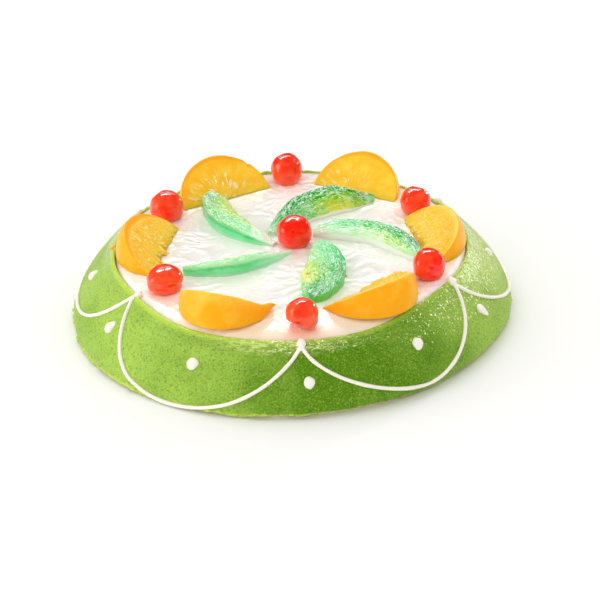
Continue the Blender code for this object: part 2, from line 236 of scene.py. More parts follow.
class Recipe(Nodes):
    """The shader nodes of one finish."""

    def __init__(self, name: str) -> None:
        """Start a finish from a plain shader.

        Args:
            name: The finish's name.
        """
        self.material = bpy.data.materials.new(name)
        self.material.use_nodes = True
        super().__init__(self.material.node_tree)
        self.shader = self.tree.nodes["Principled BSDF"]
        self._place: bpy.types.NodeSocket | None = None

    def set(self, **inputs: object) -> None:
        """Set the shader's own inputs, named with underscores for spaces."""
        for name, value in inputs.items():
            self.feed(self.shader.inputs[name.replace("_", " ")], value)

    def place(self) -> bpy.types.NodeSocket:
        """Where a point is on the cake, in metres."""
        if self._place is None:
            self._place = self.add("ShaderNodeTexCoord", {}).outputs["Object"]
        return self._place

    def reading(self, name: str, kind: str = "Fac") -> bpy.types.NodeSocket:
        """What the mesh holds at a point under a name."""
        return self.add("ShaderNodeAttribute", {}, attribute_name=name).outputs[kind]

    def stretched(self, vector: bpy.types.NodeSocket, scale: Colour) -> bpy.types.NodeSocket:
        """A place, with each of its directions scaled."""
        return self.add("ShaderNodeMapping", {"Vector": vector, "Scale": scale}).outputs["Vector"]

    def grain(
        self,
        size: float,
        detail: float = 2.0,
        roughness: float = 0.5,
        vector: bpy.types.NodeSocket | None = None,
        distortion: float = 0.0,
    ) -> bpy.types.NodeSocket:
        """A cloudy random value.

        Args:
            size: How far apart its patches are, in metres.
            detail: How many finer patterns are added.
            roughness: How strong the finer ones are.
            vector: Where it is read, instead of the place on the cake.
            distortion: How much it swirls.

        Returns:
            A value about 0.5, from 0 to 1.
        """
        inputs = {"Scale": 1.0 / size, "Detail": detail, "Roughness": roughness, "Distortion": distortion}
        inputs["Vector"] = vector or self.place()
        return self.add("ShaderNodeTexNoise", inputs).outputs["Fac"]

    def cells(self, size: float) -> bpy.types.NodeSocket:
        """The distance to the nearest of many scattered points, as a share of their spacing."""
        return self.add("ShaderNodeTexVoronoi", {"Vector": self.place(), "Scale": 1.0 / size}).outputs["Distance"]

    def thicker(self, colour: bpy.types.NodeSocket) -> bpy.types.NodeSocket:
        """A dye as it looks where light goes twice as far through it."""
        return self.add("ShaderNodeVectorMath", {0: colour, 1: colour}, operation="MULTIPLY").outputs["Vector"]

    def relief(
        self, height: object, depth: float, strength: float = 1.0, over: object | None = None
    ) -> bpy.types.NodeSocket:
        """Fine relief too small for the mesh.

        Args:
            height: Its height, from 0 to 1.
            depth: How deep it is, in metres.
            strength: The share of it that shows.
            over: Coarser relief that it lies on.

        Returns:
            The direction that the surface faces.
        """
        inputs = {"Height": height, "Distance": depth, "Strength": strength}
        if over is not None:
            inputs["Normal"] = over
        return self.add("ShaderNodeBump", inputs).outputs["Normal"]


@dataclass(frozen=True)
class MarzipanFinish:
    """Green almond paste: fine pitted grain, moist near the icing, pale and crumbly where it was cut, with painted
    shade, highlights, glints and sheen.
    """

    # light and deep: the paste's green where light falls and where painted shade lies, partly a real difference of
    # tone
    light: Colour = (0.345, 0.55, 0.076)
    deep: Colour = (0.095, 0.255, 0.004)
    # pale: the crumbly cut foot, and the painted highlight on the grain's raised specks
    pale: Colour = (0.58, 0.68, 0.12)
    # lip: the lighter rim, a painted highlight that is brightest on the left
    lip: Colour = (0.50, 0.70, 0.05)
    # the colour of the painted glints
    glint: Colour = (0.98, 1.00, 0.58)
    # the colour of the painted gleam, a pale sheen
    gleam: Colour = (0.80, 0.86, 0.34)
    # pit: the painted shade in the pits of the grain
    pit: Colour = (0.02, 0.10, 0.0)
    grain_size: float = 0.95 * MM
    pit_size: float = 2.3 * MM

    def material(self) -> bpy.types.Material:
        """The finish as a material."""
        r = Recipe("marzipan")
        cloud = r.grain(30.0 * MM, 3.0)
        # the deep value: partly the paste's tone, partly painted shade
        tint = r.plus(r.reading("deep"), r.between(cloud, 0.3, 0.7, -0.2, 0.2))
        colour = r.blend(tint, self.light, self.deep)
        # the grain, with a painted highlight on its raised specks and painted shade in its low places and pits
        speck = r.grain(self.grain_size, 2.0, 0.6)
        pit = r.between(r.cells(self.pit_size), 0.10, 0.42)
        colour = r.blend(r.between(speck, 0.50, 0.72, 0.0, 0.36), colour, self.pale)
        shaded = r.blend(0.55, colour, self.pit)
        colour = r.blend(r.between(speck, 0.30, 0.50, 0.62, 0.0), colour, shaded)
        colour = r.blend(r.between(pit, 0.0, 1.0, 0.45, 0.0), colour, shaded)
        crumb = r.times(r.reading("pale"), r.between(r.grain(1.8 * MM, 3.0), 0.3, 0.6, 0.35, 1.0))
        colour = r.blend(crumb, colour, self.pale)
        # a painted highlight along the lip round the icing
        colour = r.blend(r.reading("lip"), colour, self.lip)
        wet, sparkle = r.reading("wet"), r.reading("glint")
        # a painted gleam in streaks: a pale sheen on the right and under the icing
        line = r.grain(1.0, 3.0, 0.6, vector=r.stretched(r.place(), (0.22 / MM, 0.22 / MM, 1.1 / MM)), distortion=0.8)
        gleam = r.times(r.reading("gleam"), r.between(line, 0.46, 0.62, 0.15, 1.0))
        colour = r.blend(gleam, colour, self.gleam)
        # painted glints: sparse pale specks where the mesh says
        bright = r.plus(r.grain(1.5 * MM, 2.0, 0.6), r.times(sparkle, 0.085))
        bright = r.times(r.between(bright, 0.665, 0.715), r.between(sparkle, 0.0, 0.5))
        colour = r.blend(bright, colour, self.glint)
        height = r.plus(r.times(speck, 0.45), r.times(pit, 0.55))
        r.set(
            Base_Color=colour,
            Roughness=r.between(r.plus(wet, r.times(speck, 0.3)), 0.0, 1.2, 0.5, 0.22),
            Normal=r.relief(height, 0.75 * MM, 0.8),
            Specular_IOR_Level=0.3,
            Specular_Tint=(1.0, 1.0, 0.45, 1.0),
            **translucent(0.15, (1.0, 1.0, 0.25), 2.5 * MM),
            Coat_Weight=r.between(wet, 0.15, 1.0, 0.0, 0.35),
            Coat_Roughness=0.15,
            Coat_Normal=r.relief(r.grain(1.4 * MM, 2.0, 0.6), 0.5 * MM, 0.9),
        )
        return r.material


@dataclass(frozen=True)
class SpongeFinish:
    """Pale sponge with an open crumb, a little browned underneath, with painted shade in its pores."""

    crumb: Colour = (0.92, 0.82, 0.54)
    crust: Colour = (0.78, 0.58, 0.26)

    def material(self) -> bpy.types.Material:
        """The finish as a material."""
        r = Recipe("sponge")
        pores = r.cells(2.6 * MM)
        colour = r.blend(r.between(r.grain(9.0 * MM, 4.0), 0.45, 0.7), self.crumb, self.crust)
        # painted shade in the pores of the crumb
        colour = r.blend(r.between(pores, 0.0, 0.35, 0.5, 0.0), colour, self.crust)
        r.set(
            Base_Color=colour,
            Roughness=0.85,
            **translucent(0.1, (1.0, 0.7, 0.4), 2.0 * MM),
            Normal=r.relief(pores, 0.9 * MM, 0.8),
        )
        return r.material


@dataclass(frozen=True)
class IcingFinish:
    """Poured sugar icing, glossy and finely wrinkled, with painted shade on its sloping front edge, painted
    highlights on its ripple crests and the fruit's coloured light painted round each piece.
    """

    white: Colour = (0.955, 0.925, 0.885)
    cream: Colour = (0.93, 0.87, 0.80)
    # shade: the painted shade of the sloping front edge
    shade: Colour = (0.80, 0.68, 0.50)
    # cherry_glow, amber and citron_glow: the coloured light of the fruit, painted onto the icing round it
    cherry_glow: Colour = (1.0, 0.56, 0.42)
    amber: Colour = (1.0, 0.82, 0.52)
    citron_glow: Colour = (0.72, 0.92, 0.72)
    # crest: the painted highlight on the ripple crests
    crest: Colour = (1.0, 1.0, 0.99)

    def material(self) -> bpy.types.Material:
        """The finish as a material."""
        r = Recipe("icing")
        cloud = r.between(r.grain(14.0 * MM, 3.0), 0.35, 0.7, 0.0, 0.35)
        colour = r.blend(cloud, self.white, self.cream)
        # painted shade on the icing's sloping front edge
        edge = r.reading("edge")
        colour = r.blend(edge, colour, self.shade)
        # the fruit's coloured light painted round each piece, and painted highlights on the ripple crests
        for name in ("citron_glow", "cherry_glow", "amber", "crest"):
            colour = r.blend(r.reading(name), colour, getattr(self, name))
        wrinkle = r.grain(3.2 * MM, 3.0, 0.5, distortion=1.4)
        r.set(
            Base_Color=colour,
            Roughness=r.plus(r.between(wrinkle, 0.3, 0.7, 0.14, 0.26), r.times(edge, 0.3)),
            Normal=r.relief(wrinkle, 0.4 * MM, 0.3),
            **translucent(0.3, (1.0, 0.8, 0.6), 3.0 * MM),
            Coat_Weight=r.between(edge, 0.0, 0.7, 0.35, 0.06),
            Coat_Roughness=0.08,
        )
        return r.material


@dataclass(frozen=True)
class PipingFinish:
    """Piped icing that has set: ivory and faintly satin, with hairline streaks."""

    ivory: Colour = (0.92, 0.88, 0.78)
    cream: Colour = (0.87, 0.82, 0.68)

    def material(self) -> bpy.types.Material:
        """The finish as a material."""
        r = Recipe("piped_icing")
        streak = r.grain(1.6 * MM, 3.0)
        r.set(
            Base_Color=r.blend(r.between(streak, 0.35, 0.7, 0.0, 0.6), self.ivory, self.cream),
            Roughness=0.42,
            Normal=r.relief(streak, 0.12 * MM, 0.6),
            **translucent(0.25, (1.0, 0.85, 0.6), 1.5 * MM),
            Coat_Weight=0.2,
            Coat_Roughness=0.25,
        )
        return r.material


@dataclass(frozen=True)
class CherryFinish:
    """Candied cherry: glassy red syrup over firm flesh, more orange on some and in patches, with a painted glow low
    down and painted shade in its hollows and on its crown.
    """

    red: Colour = (1.0, 0.014, 0.004)
    # glow: the orange that some cherries have, also painted low down as a glow of light
    glow: Colour = (1.0, 0.115, 0.035)
    # shaded: painted shade in the hollows and on the crown
    shaded: Colour = (0.70, 0.004, 0.002)

    def material(self) -> bpy.types.Material:
        """The finish as a material."""
        r = Recipe("cherry")
        patch = r.grain(7.0 * MM, 3.0)
        # warmth: each cherry's tone, and a painted glow low down
        warm = r.plus(r.reading("warmth"), r.between(patch, 0.3, 0.7, -0.3, 0.4))
        colour = r.blend(warm, self.red, self.glow)
        # painted shade in the hollows and on the crown
        colour = r.blend(r.reading("hollow"), colour, self.shaded)
        r.set(
            Base_Color=colour,
            Roughness=0.25,
            Specular_IOR_Level=0.1,
            **translucent(0.4, (1.0, 0.14, 0.04), 3.0 * MM),
            Coat_Weight=1.0,
            Coat_Roughness=0.015,
            Coat_IOR=1.45,
            Coat_Normal=r.relief(r.grain(2.6 * MM, 1.0), 0.10 * MM, 0.25),
        )
        return r.material


@dataclass(frozen=True)
class OrangeFinish:
    """Candied orange: clear amber flesh with white fibres, and a smooth deeper skin; painted light and shade on the
    skin, a painted highlight along the ridge and painted shade on the torn faces of the grainy wedges.
    """

    skin: Colour = (1.0, 0.42, 0.004)
    # lit_skin: the skin where painted light falls, where it faces up
    lit_skin: Colour = (1.0, 0.67, 0.095)
    # rind: the rind line, and also painted shade on the skin
    rind: Colour = (1.0, 0.33, 0.003)
    flesh: Colour = (1.0, 0.62, 0.045)
    core: Colour = (1.0, 0.47, 0.008)
    fibre: Colour = (1.0, 0.98, 0.76)
    crystal: Colour = (1.0, 0.90, 0.42)
    # ridge: the painted highlight along the edge between skin and flesh
    ridge: Colour = (1.0, 0.70, 0.14)

    def material(self) -> bpy.types.Material:
        """The finish as a material."""
        r = Recipe("orange")
        lay = r.reading("fibre", "Vector")
        reach, flesh, pulp = r.reading("reach"), r.reading("flesh"), r.reading("pulp")
        grainy = r.reading("grainy")
        cloud, sheen = r.grain(11.0 * MM, 3.0), r.reading("sheen")
        # painted light: the skin lighter where it faces up
        skin = r.blend(r.plus(sheen, r.between(cloud, 0.35, 0.68, -0.2, 0.25)), self.skin, self.lit_skin)
        # painted shade: below zero, sheen darkens the skin towards the rind
        ruddy = r.sum("MAXIMUM", r.between(r.grain(1.1 * MM, 2.0), 0.4, 0.7, 0.0, 0.25), r.times(sheen, -1.0))
        skin = r.blend(ruddy, skin, self.rind)
        # amber: the flesh's deeper tone, and on grainy wedges painted shade on the torn face
        amber = r.plus(r.reading("amber"), r.between(cloud, 0.36, 0.66, -0.15, 0.45))
        inside = r.blend(amber, self.flesh, self.core)
        cells = r.grain(1.0, 2.0, 0.5, vector=r.stretched(lay, (0.45 / MM, 0.14 / MM, 1.0)))
        inside = r.blend(r.between(cells, 0.40, 0.66, 0.0, 0.5), inside, self.core)
        grit = r.between(r.grain(1.2 * MM, 3.0, 0.65), 0.30, 0.50, 0.45, 0.0)
        inside = r.blend(r.times(grit, pulp), inside, self.core)
        rim = r.times(r.between(reach, 0.86, 0.97, 0.0, 0.8), r.sum("SUBTRACT", 1.0, grainy))
        inside = r.blend(rim, inside, self.rind)
        # a painted highlight along the ridge of the grainy wedges
        ridge = r.times(r.between(reach, 0.80, 0.97, 0.0, 0.7), grainy)
        inside = r.blend(ridge, inside, self.ridge)
        strand = r.grain(1.0, 3.0, 0.6, vector=r.stretched(lay, (0.62 / MM, 0.15 / MM, 1.0)), distortion=0.3)
        strand = r.between(strand, 0.55, 0.60)
        speck = r.between(r.grain(1.6 * MM, 3.0, 0.7), 0.52, 0.64, 0.0, 0.9)
        strand = r.times(strand, r.between(r.grain(3.0 * MM, 2.0), 0.40, 0.52, 0.15, 1.0))
        white = r.times(pulp, r.blend(grainy, strand, speck))
        inside = r.blend(white, inside, r.blend(grainy, self.fibre, self.crystal))
        rough = r.plus(r.times(cells, 0.5), r.times(white, 0.6))
        rough = r.times(flesh, rough)
        r.set(
            Base_Color=r.blend(flesh, skin, inside),
            Roughness=r.between(pulp, 0.0, 1.0, 0.34, 0.22),
            Normal=r.relief(r.grain(1.3 * MM, 3.0, 0.6), 0.15 * MM, 0.5, over=r.relief(rough, 0.6 * MM, 0.5)),
            Specular_IOR_Level=0.18,
            **translucent(0.6, (1.0, 0.45, 0.10), 6.0 * MM),
        )
        return r.material


@dataclass(frozen=True)
class CitronFinish:
    """Candied citron: dyed flesh that lets light in, crinkled and crusted with sugar on its cut top, with painted
    shade in its grooves and a painted highlight in the white of its crests.
    """

    sugar: Colour = (0.97, 1.0, 0.95)

    def material(self) -> bpy.types.Material:
        """The finish as a material."""
        r = Recipe("citron")
        lay, sugar, ridge = r.reading("lay", "Vector"), r.reading("sugar"), r.reading("ridge")
        dye = r.reading("dye", "Color")
        deep = r.thicker(dye)
        line = r.grain(1.0, 3.0, 0.6, vector=r.stretched(lay, (0.10 / MM, 0.46 / MM, 0.46 / MM)), distortion=0.8)
        gap = r.sum("ABSOLUTE", r.sum("SUBTRACT", line, 0.5), 0.0)
        # painted shade: the deeper dye in the grooves of the crinkles
        groove = r.sum("MAXIMUM", r.between(gap, 0.03, 0.09, 0.0, 1.2), r.between(ridge, 0.1, 0.5, 0.9, 0.0))
        cloud = r.grain(5.0 * MM, 3.0, 0.6, vector=r.stretched(lay, (0.4, 1.0, 1.0)))
        cloud = r.between(cloud, 0.35, 0.62, 0.0, 0.45)
        colour = r.blend(r.sum("MAXIMUM", cloud, r.times(groove, r.reading("top"))), dye, deep)
        crystal = r.grain(0.9 * MM, 3.0, 0.7)
        # the white on the crests: sugar, with a painted highlight in it
        crest = r.sum("MAXIMUM", r.between(gap, 0.01, 0.045, 1.0, 0.0), r.between(ridge, 0.65, 0.95))
        white = r.times(crest, r.between(crystal, 0.40, 0.58, 0.20, 1.0))
        white = r.sum("MAXIMUM", white, r.between(crystal, 0.62, 0.74, 0.0, 0.6))
        white = r.times(white, sugar)
        colour = r.blend(white, colour, self.sugar)
        high = r.plus(r.times(crystal, 0.4), r.times(crest, 0.6))
        r.set(
            Base_Color=colour,
            Roughness=r.between(white, 0.0, 1.0, 0.20, 0.45),
            Normal=r.relief(r.times(high, sugar), 0.5 * MM, 0.8),
            **translucent(0.4, (0.5, 1.0, 0.6), 3.0 * MM),
            Specular_IOR_Level=0.5,
        )
        return r.material


@dataclass(frozen=True)
class CrumbFinish:
    """Crumbs of one kind, each a little lighter or darker than the next."""

    name: str
    base: Colour
    other: Colour

    def material(self) -> bpy.types.Material:
        """The finish as a material."""
        r = Recipe(self.name)
        speck = r.grain(1.2 * MM, 3.0)
        r.set(
            Base_Color=r.blend(r.between(speck, 0.35, 0.65), self.base, self.other),
            Roughness=0.45,
            Normal=r.relief(speck, 0.3 * MM, 0.7),
            **translucent(0.2, (1.0, 0.6, 0.2), 1.0 * MM),
        )
        return r.material


@dataclass(frozen=True)
class FloorFinish:
    """A matt white table."""

    white: Colour = (0.93, 0.93, 0.93)
    grey: Colour = (0.91, 0.91, 0.91)

    def material(self) -> bpy.types.Material:
        """The finish as a material."""
        r = Recipe("floor")
        r.set(Base_Color=r.blend(r.grain(0.4, 2.0), self.white, self.grey), Roughness=0.9)
        return r.material


# ---------------------------------------------------------------------------------------------
# Making meshes
# ---------------------------------------------------------------------------------------------


class Dough:
    """A mesh in the making, with the values that its finish reads at each point."""

    def __init__(self, values: Sequence[str] = (), vectors: Sequence[str] = (), colours: Sequence[str] = ()) -> None:
        """Start an empty mesh.

        Args:
            values: Names of single values.
            vectors: Names of vectors.
            colours: Names of colours.
        """
        self.bm = bmesh.new()
        layers = self.bm.verts.layers
        self.layers = {name: layers.float.new(name) for name in values}
        self.layers |= {name: layers.float_vector.new(name) for name in vectors}
        self.layers |= {name: layers.float_color.new(name) for name in colours}

    def note(self, vert: bmesh.types.BMVert, **values: object) -> None:
        """Write what the finish reads at a vertex."""
        for name, value in values.items():
            vert[self.layers[name]] = value

    def spin(self, profile: Sequence[tuple[float, float]], steps: int) -> None:
        """Turn a profile that starts and ends on the axis into a round body.

        Args:
            profile: Pairs of radius and height.
            steps: How many steps make a full turn.
        """
        points = [self.bm.verts.new((radius, 0.0, height)) for radius, height in profile]
        edges = [self.bm.edges.new(pair) for pair in zip(points, points[1:])]
        bmesh.ops.spin(self.bm, geom=points + edges, axis=UP, cent=(0.0, 0.0, 0.0), angle=2.0 * math.pi,
                       steps=steps, use_merge=True, use_duplicate=False)
        self.weld()

    def weave(
        self, rows: int, columns: int, shape: Callable[[bmesh.types.BMVert, float, float], Vector]
    ) -> None:
        """Bend a square sheet until its edges meet and it closes.

        Args:
            rows: How many steps it has one way.
            columns: How many it has the other way.
            shape: Where a vertex goes, from its two shares of the sheet, each from 0 to 1.
        """
        bmesh.ops.create_grid(self.bm, x_segments=rows, y_segments=columns, size=0.5)
        for vert in self.bm.verts:
            u, v = (min(1.0, max(0.0, value + 0.5)) for value in vert.co.xy)
            vert.co = shape(vert, u, v)
        self.weld()

    def weld(self) -> None:
        """Join the vertices that lie in one place."""
        bmesh.ops.remove_doubles(self.bm, verts=self.bm.verts, dist=WELD)

    def face_out(self) -> None:
        """Turn every face outwards."""
        bmesh.ops.recalc_face_normals(self.bm, faces=self.bm.faces)
        if self.bm.calc_volume(signed=True) < 0:
            bmesh.ops.reverse_faces(self.bm, faces=self.bm.faces)

    def emboss(self, height: Callable[[bmesh.types.BMVert], float]) -> None:
        """Raise each vertex along the way that it faces."""
        self.face_out()
        self.bm.normal_update()
        raised = [(vert, vert.co + vert.normal * height(vert)) for vert in self.bm.verts]
        for vert, place in raised:
            vert.co = place

    def bake(self, name: str, material: bpy.types.Material, slot: Slot, *nodes: str) -> bpy.types.Object:
        """Close the mesh up, move it onto the cake and make it a piece of the scene.

        Args:
            name: The piece's name.
            material: Its finish.
            slot: The kind of finish that it takes; not used.
            *nodes: The nodes of the part that it stands for.

        Returns:
            The piece.
        """
        self.weld()
        self.face_out()
        for face in self.bm.faces:
            face.smooth = True
        bmesh.ops.translate(self.bm, verts=self.bm.verts, vec=CAKE_MIDDLE)
        piece = filled(name, self.bm, material)
        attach(piece, "root")
        if nodes:
            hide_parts(*nodes)
        LOG.info("%s: %d faces", name, len(piece.data.polygons))
        return piece


# ---------------------------------------------------------------------------------------------
# The cake
# ---------------------------------------------------------------------------------------------


@dataclass(frozen=True)
class CakeForm:
    """The uneven round form that the marzipan, the icing and the sponge share."""

    bulge_radius: float = 130.0 * MM
    bulge_height: float = 8.5 * MM
    rim_radius: float = 104.8 * MM
    rim_height: float = 42.2 * MM
    dome_power: float = 1.33
    tray_radius: float = 103.3 * MM
    tray_floor: float = 38.2 * MM
    icing_top: float = 42.0 * MM
    skirt_height: float = 0.8 * MM
    skirt_thickness: float = 2.6 * MM
    sponge_height: float = 2.8 * MM
    sponge_inset: float = 3.9 * MM
    gap: float = 0.3 * MM
    sag_angle: float = math.radians(-96)
    sag_full: float = math.radians(22)
    sag_end: float = math.radians(60)
    sag_drop: float = 3.8 * MM
    sag_spread: float = 4.3 * MM
    sag_from_radius: float = 84.0 * MM
    sag_from_height: float = 24.0 * MM
    tuck_angle: float = math.radians(-37)
    tuck_left: float = math.radians(33)
    tuck_right: float = math.radians(18)
    tuck_depth: float = 6.0 * MM
    foot_spread: float = 0.9 * MM
    lump_depth: float = 0.5 * MM
    ragged_rise: float = 2.0 * MM
    ragged_depth: float = 1.2 * MM
    lift_angle: float = math.radians(-82)
    lift_width: float = math.radians(15)
    lift_rise: float = 2.2 * MM
    ragged_top: float = 5.0 * MM
    crumble: float = 1.7 * MM

    def wall_radius(self, height: float) -> float:
        """Radius of the plain round wall at a height."""
        share = max(0.0, (height - self.bulge_height) / (self.rim_height - self.bulge_height))
        return self.bulge_radius - (self.bulge_radius - self.rim_radius) * share**self.dome_power

    def tuck(self, angle: float) -> float:
        """How far the foot is drawn in at an angle: below zero, it spreads."""
        off = turn(angle, self.tuck_angle)
        width = self.tuck_right if off > 0 else self.tuck_left
        return self.tuck_depth * math.exp(-0.5 * (off / width) ** 2) - self.foot_spread

    def settled(self, point: Vector) -> Vector:
        """Where a point of a perfectly round cake lies on the uneven one.

        Args:
            point: The point of the round cake.

        Returns:
            Its place once the cake has sagged and its foot is tucked in.
        """
        radius, angle, height = math.hypot(point.x, point.y), math.atan2(point.y, point.x), point.z
        if radius < 1e-6:
            return point.copy()
        sag = 1.0 - smooth(self.sag_full, self.sag_end, abs(turn(angle, self.sag_angle)))
        sag *= smooth(self.sag_from_radius, self.rim_radius, radius)
        sag *= smooth(self.sag_from_height, self.rim_height - 4.0 * MM, height)
        outer = smooth(70.0 * MM, 100.0 * MM, radius)
        foot = max(0.0, 1.0 - height / self.bulge_height) ** 2
        uneven = math.sin(3.0 * angle + 0.6) + 0.7 * math.sin(5.0 * angle + 2.1)
        radius += self.sag_spread * sag - self.tuck(angle) * foot * outer
        radius += self.lump_depth * uneven * outer * 0.6
        height -= self.sag_drop * sag
        return Vector((radius * math.cos(angle), radius * math.sin(angle), height))

    def ragged(self, place: Vector, angle: float, height: float) -> Vector:
        """How the torn foot of the marzipan departs from a clean edge.

        Args:
            place: The settled point.
            angle: Its angle.
            height: Its height on the round cake.

        Returns:
            The settled point, lifted and pushed in or out.
        """
        share = min(1.0, max(0.0, (self.ragged_top - height) / (self.ragged_top - self.skirt_height)))
        if share <= 0.0:
            return place
        crag = ring(angle, 9.0, 0.3)
        fine = ring(angle, 42.0, 5.0)
        lift = math.exp(-0.5 * (turn(angle, self.lift_angle) / self.lift_width) ** 4)
        rise = min(self.lift_rise, self.ragged_rise * max(0.0, 0.35 + crag) + self.lift_rise * lift)
        rise += self.crumble * max(-0.2, fine)
        out = Vector((place.x, place.y, 0.0)).normalized()
        return place + UP * rise * share + out * (self.ragged_depth * crag + self.crumble * fine) * share

    def wall_heights(self, rows: int) -> list[float]:
        """Heights up the wall, from its foot to its rim."""
        top = self.rim_height - 0.75 * MM
        return [mixed(self.skirt_height, top, row / rows) for row in range(rows + 1)]


class Wall:
    """Finds places on the outside of the settled wall."""

    def __init__(self, form: CakeForm) -> None:
        """Make a plain wall to measure from.

        Args:
            form: The cake's form.
        """
        self.form = form
        dough = Dough()
        heights = form.wall_heights(40)
        profile = [(0.0, form.skirt_height)] + [(form.wall_radius(h), h) for h in heights]
        dough.spin([*profile, (0.0, form.rim_height)], 240)
        for vert in dough.bm.verts:
            vert.co = form.settled(vert.co)
        self.tree = BVHTree.FromBMesh(dough.bm)
        dough.bm.free()

    def at(self, angle: float, height: float, proud: float = 0.0) -> tuple[Vector, Vector]:
        """A place on the wall.

        Args:
            angle: Its angle, in radians.
            height: Its height.
            proud: How far out of the wall it is.

        Returns:
            The place, and the way out of the wall there.
        """
        out = Vector((math.cos(angle), math.sin(angle), 0.0))
        point = self.tree.ray_cast(out * 0.2 + UP * height, -out)[0]
        slope = 0.6 * MM
        rise = self.form.wall_radius(height + slope) - self.form.wall_radius(height - slope)
        normal = (out * 2.0 * slope - UP * rise).normalized()
        return point + normal * proud, normal


@dataclass
class MarzipanShell:
    """The marzipan over the cake's side, with its grain, its torn foot and its lip round the icing."""

    form: CakeForm
    steps: int = 620
    rows: int = 58
    peel_depth: float = 0.10 * MM
    peel_size: float = 3.0 * MM
    dent_depth: float = 0.28 * MM
    dent_size: float = 15.0 * MM
    crumb_depth: float = 0.55 * MM
    crumb_size: float = 2.4 * MM
    back_drop: float = 0.9 * MM
    # heading and half width, in degrees, of the deep green, partly painted shade; of the painted shadow under the
    # icing; of the back;
    # of the painted glints; of the painted haze; of the moist streak, also painted with glints and gleam; and of the
    # lip's painted highlight
    deep_way: float = -73.0
    deep_spread: tuple[float, float] = (33.0, 34.0)
    shade_at: tuple[float, float] = (-116.0, 16.0)
    back_at: tuple[float, float] = (88.0, 60.0)
    glints_at: tuple[float, float] = (-18.0, 36.0)
    painted_haze_at: tuple[float, float] = (6.0, 19.0)
    streak_at: tuple[float, float] = (-91.0, 19.0)
    lip_highlight_at: tuple[float, float] = (200.0, 70.0)
    # angle, half width in degrees and rise of each place where the lip stands up from the icing
    lips: tuple[tuple[float, float, float], ...] = (
        (97.6, 2.2, 1.9 * MM),
        (83.6, 2.4, 1.2 * MM),
        (30.0, 4.5, 1.3 * MM),
        (198.0, 16.0, 0.8 * MM),
        (222.0, 8.0, 0.5 * MM),
        (128.0, 3.0, 0.9 * MM),
        (61.0, 4.0, 0.7 * MM),
    )

    def profile(self) -> list[tuple[float, float]]:
        """The section from the middle of the underside to the middle of the tray."""
        form = self.form
        under = form.sponge_height + form.gap
        points = [(radius * MM, under) for radius in (0.0, 40.0, 80.0, 110.0, 120.0)]
        points += [
            (form.bulge_radius - 3.2 * MM, under),
            (form.bulge_radius - form.skirt_thickness, form.skirt_height),
            (form.bulge_radius - 1.4 * MM, form.skirt_height),
        ]
        points += [(form.wall_radius(height), height) for height in form.wall_heights(self.rows)]
        lip = form.rim_radius - 0.5 * MM
        points += [
            (lip + 0.45 * MM, form.rim_height - 0.25 * MM),
            (lip, form.rim_height),
            (lip - 0.5 * MM, form.rim_height - 0.1 * MM),
            (form.tray_radius + 0.1 * MM, form.rim_height - 0.5 * MM),
            (form.tray_radius, form.rim_height - 1.6 * MM),
        ]
        points += [(radius * MM, form.tray_floor) for radius in (103.3, 97.0, 91.0, 84.0, 50.0, 0.0)]
        return points

    def tone_and_painted_shade(self, angle: float, height: float) -> float:
        """How far the paste is from its light to its deep green: partly its tone, partly painted shade, deepest at
        the front away from the light, with a painted shadow under the icing and a little lighter towards the top.
        """
        off = turn(angle, math.radians(self.deep_way))
        front = near(off, 0.0, math.radians(self.deep_spread[0 if off > 0.0 else 1]))
        # a painted shadow under the icing's edge
        under = 0.40 * near(height, 38.5 * MM, 3.0 * MM) * bell(angle, *self.shade_at)
        return min(1.0, 0.10 + 1.05 * front + under - 0.10 * smooth(20 * MM, 40 * MM, height))

    def lip_rise(self, angle: float) -> float:
        """How far the lip stands up at an angle."""
        rise = sum(high * bell(angle, at, wide) for at, wide, high in self.lips)
        return rise + 0.25 * MM * ring(angle, 30.0, 1.0)

    def build(self, material: bpy.types.Material) -> bpy.types.Object:
        """Make the shell.

        Args:
            material: Its finish.

        Returns:
            The piece, which stands for the marzipan.
        """
        form = self.form
        dough = Dough(values=("deep", "pale", "lip", "wet", "glint", "gleam"))
        dough.spin(self.profile(), self.steps)
        cover: dict[int, tuple[float, float]] = {}
        dough.bm.verts.index_update()
        for vert in dough.bm.verts:
            radius, angle, height = vert.co.xy.length, math.atan2(vert.co.y, vert.co.x), vert.co.z
            outside = smooth(0.0, 1.0 * MM, radius - form.tray_radius)
            top = smooth(form.rim_height - 1.2 * MM, form.rim_height - 0.2 * MM, height) * outside
            place = form.ragged(form.settled(vert.co), angle, height)
            sunk = self.back_drop * bell(angle, *self.back_at)
            place.z += (self.lip_rise(angle) - sunk) * top
            vert.co = place
            cover[vert.index] = (outside, height)
            foot = 1.0 - smooth(0.8 * MM, 4.5 * MM, height + 1.3 * MM * lumps(place, 6 * MM, 3.0))
            rim = smooth(form.rim_height - 2.2 * MM, form.rim_height - 0.6 * MM, height)
            # where glints are painted, high on the right
            shine = bell(angle, *self.glints_at) * smooth(14 * MM, 34 * MM, height)
            band = smooth(32 * MM, 39 * MM, height)
            # where a pale sheen is painted, on the right
            painted_haze = smooth(14 * MM, 32 * MM, height) * bell(angle, *self.painted_haze_at)
            # the moist streak under the icing at the front: a glossy coat, with painted glints and a painted gleam
            streak = smooth(35 * MM, 39 * MM, height) * bell(angle, *self.streak_at)
            dough.note(
                vert,
                deep=self.tone_and_painted_shade(angle, height),
                pale=0.95 * foot * outside,
                # the painted highlight along the lip, brightest on the left
                lip=0.8 * rim * (0.35 + 0.65 * bell(angle, *self.lip_highlight_at)),
                wet=min(1.0, 0.8 * band + 0.3 * shine + 0.4 * streak),
                # painted glints: on the right and along the streak under the icing
                glint=shine + 0.6 * streak,
                # painted gleam: along the streak and on the right
                gleam=0.75 * streak + 0.6 * painted_haze,
            )

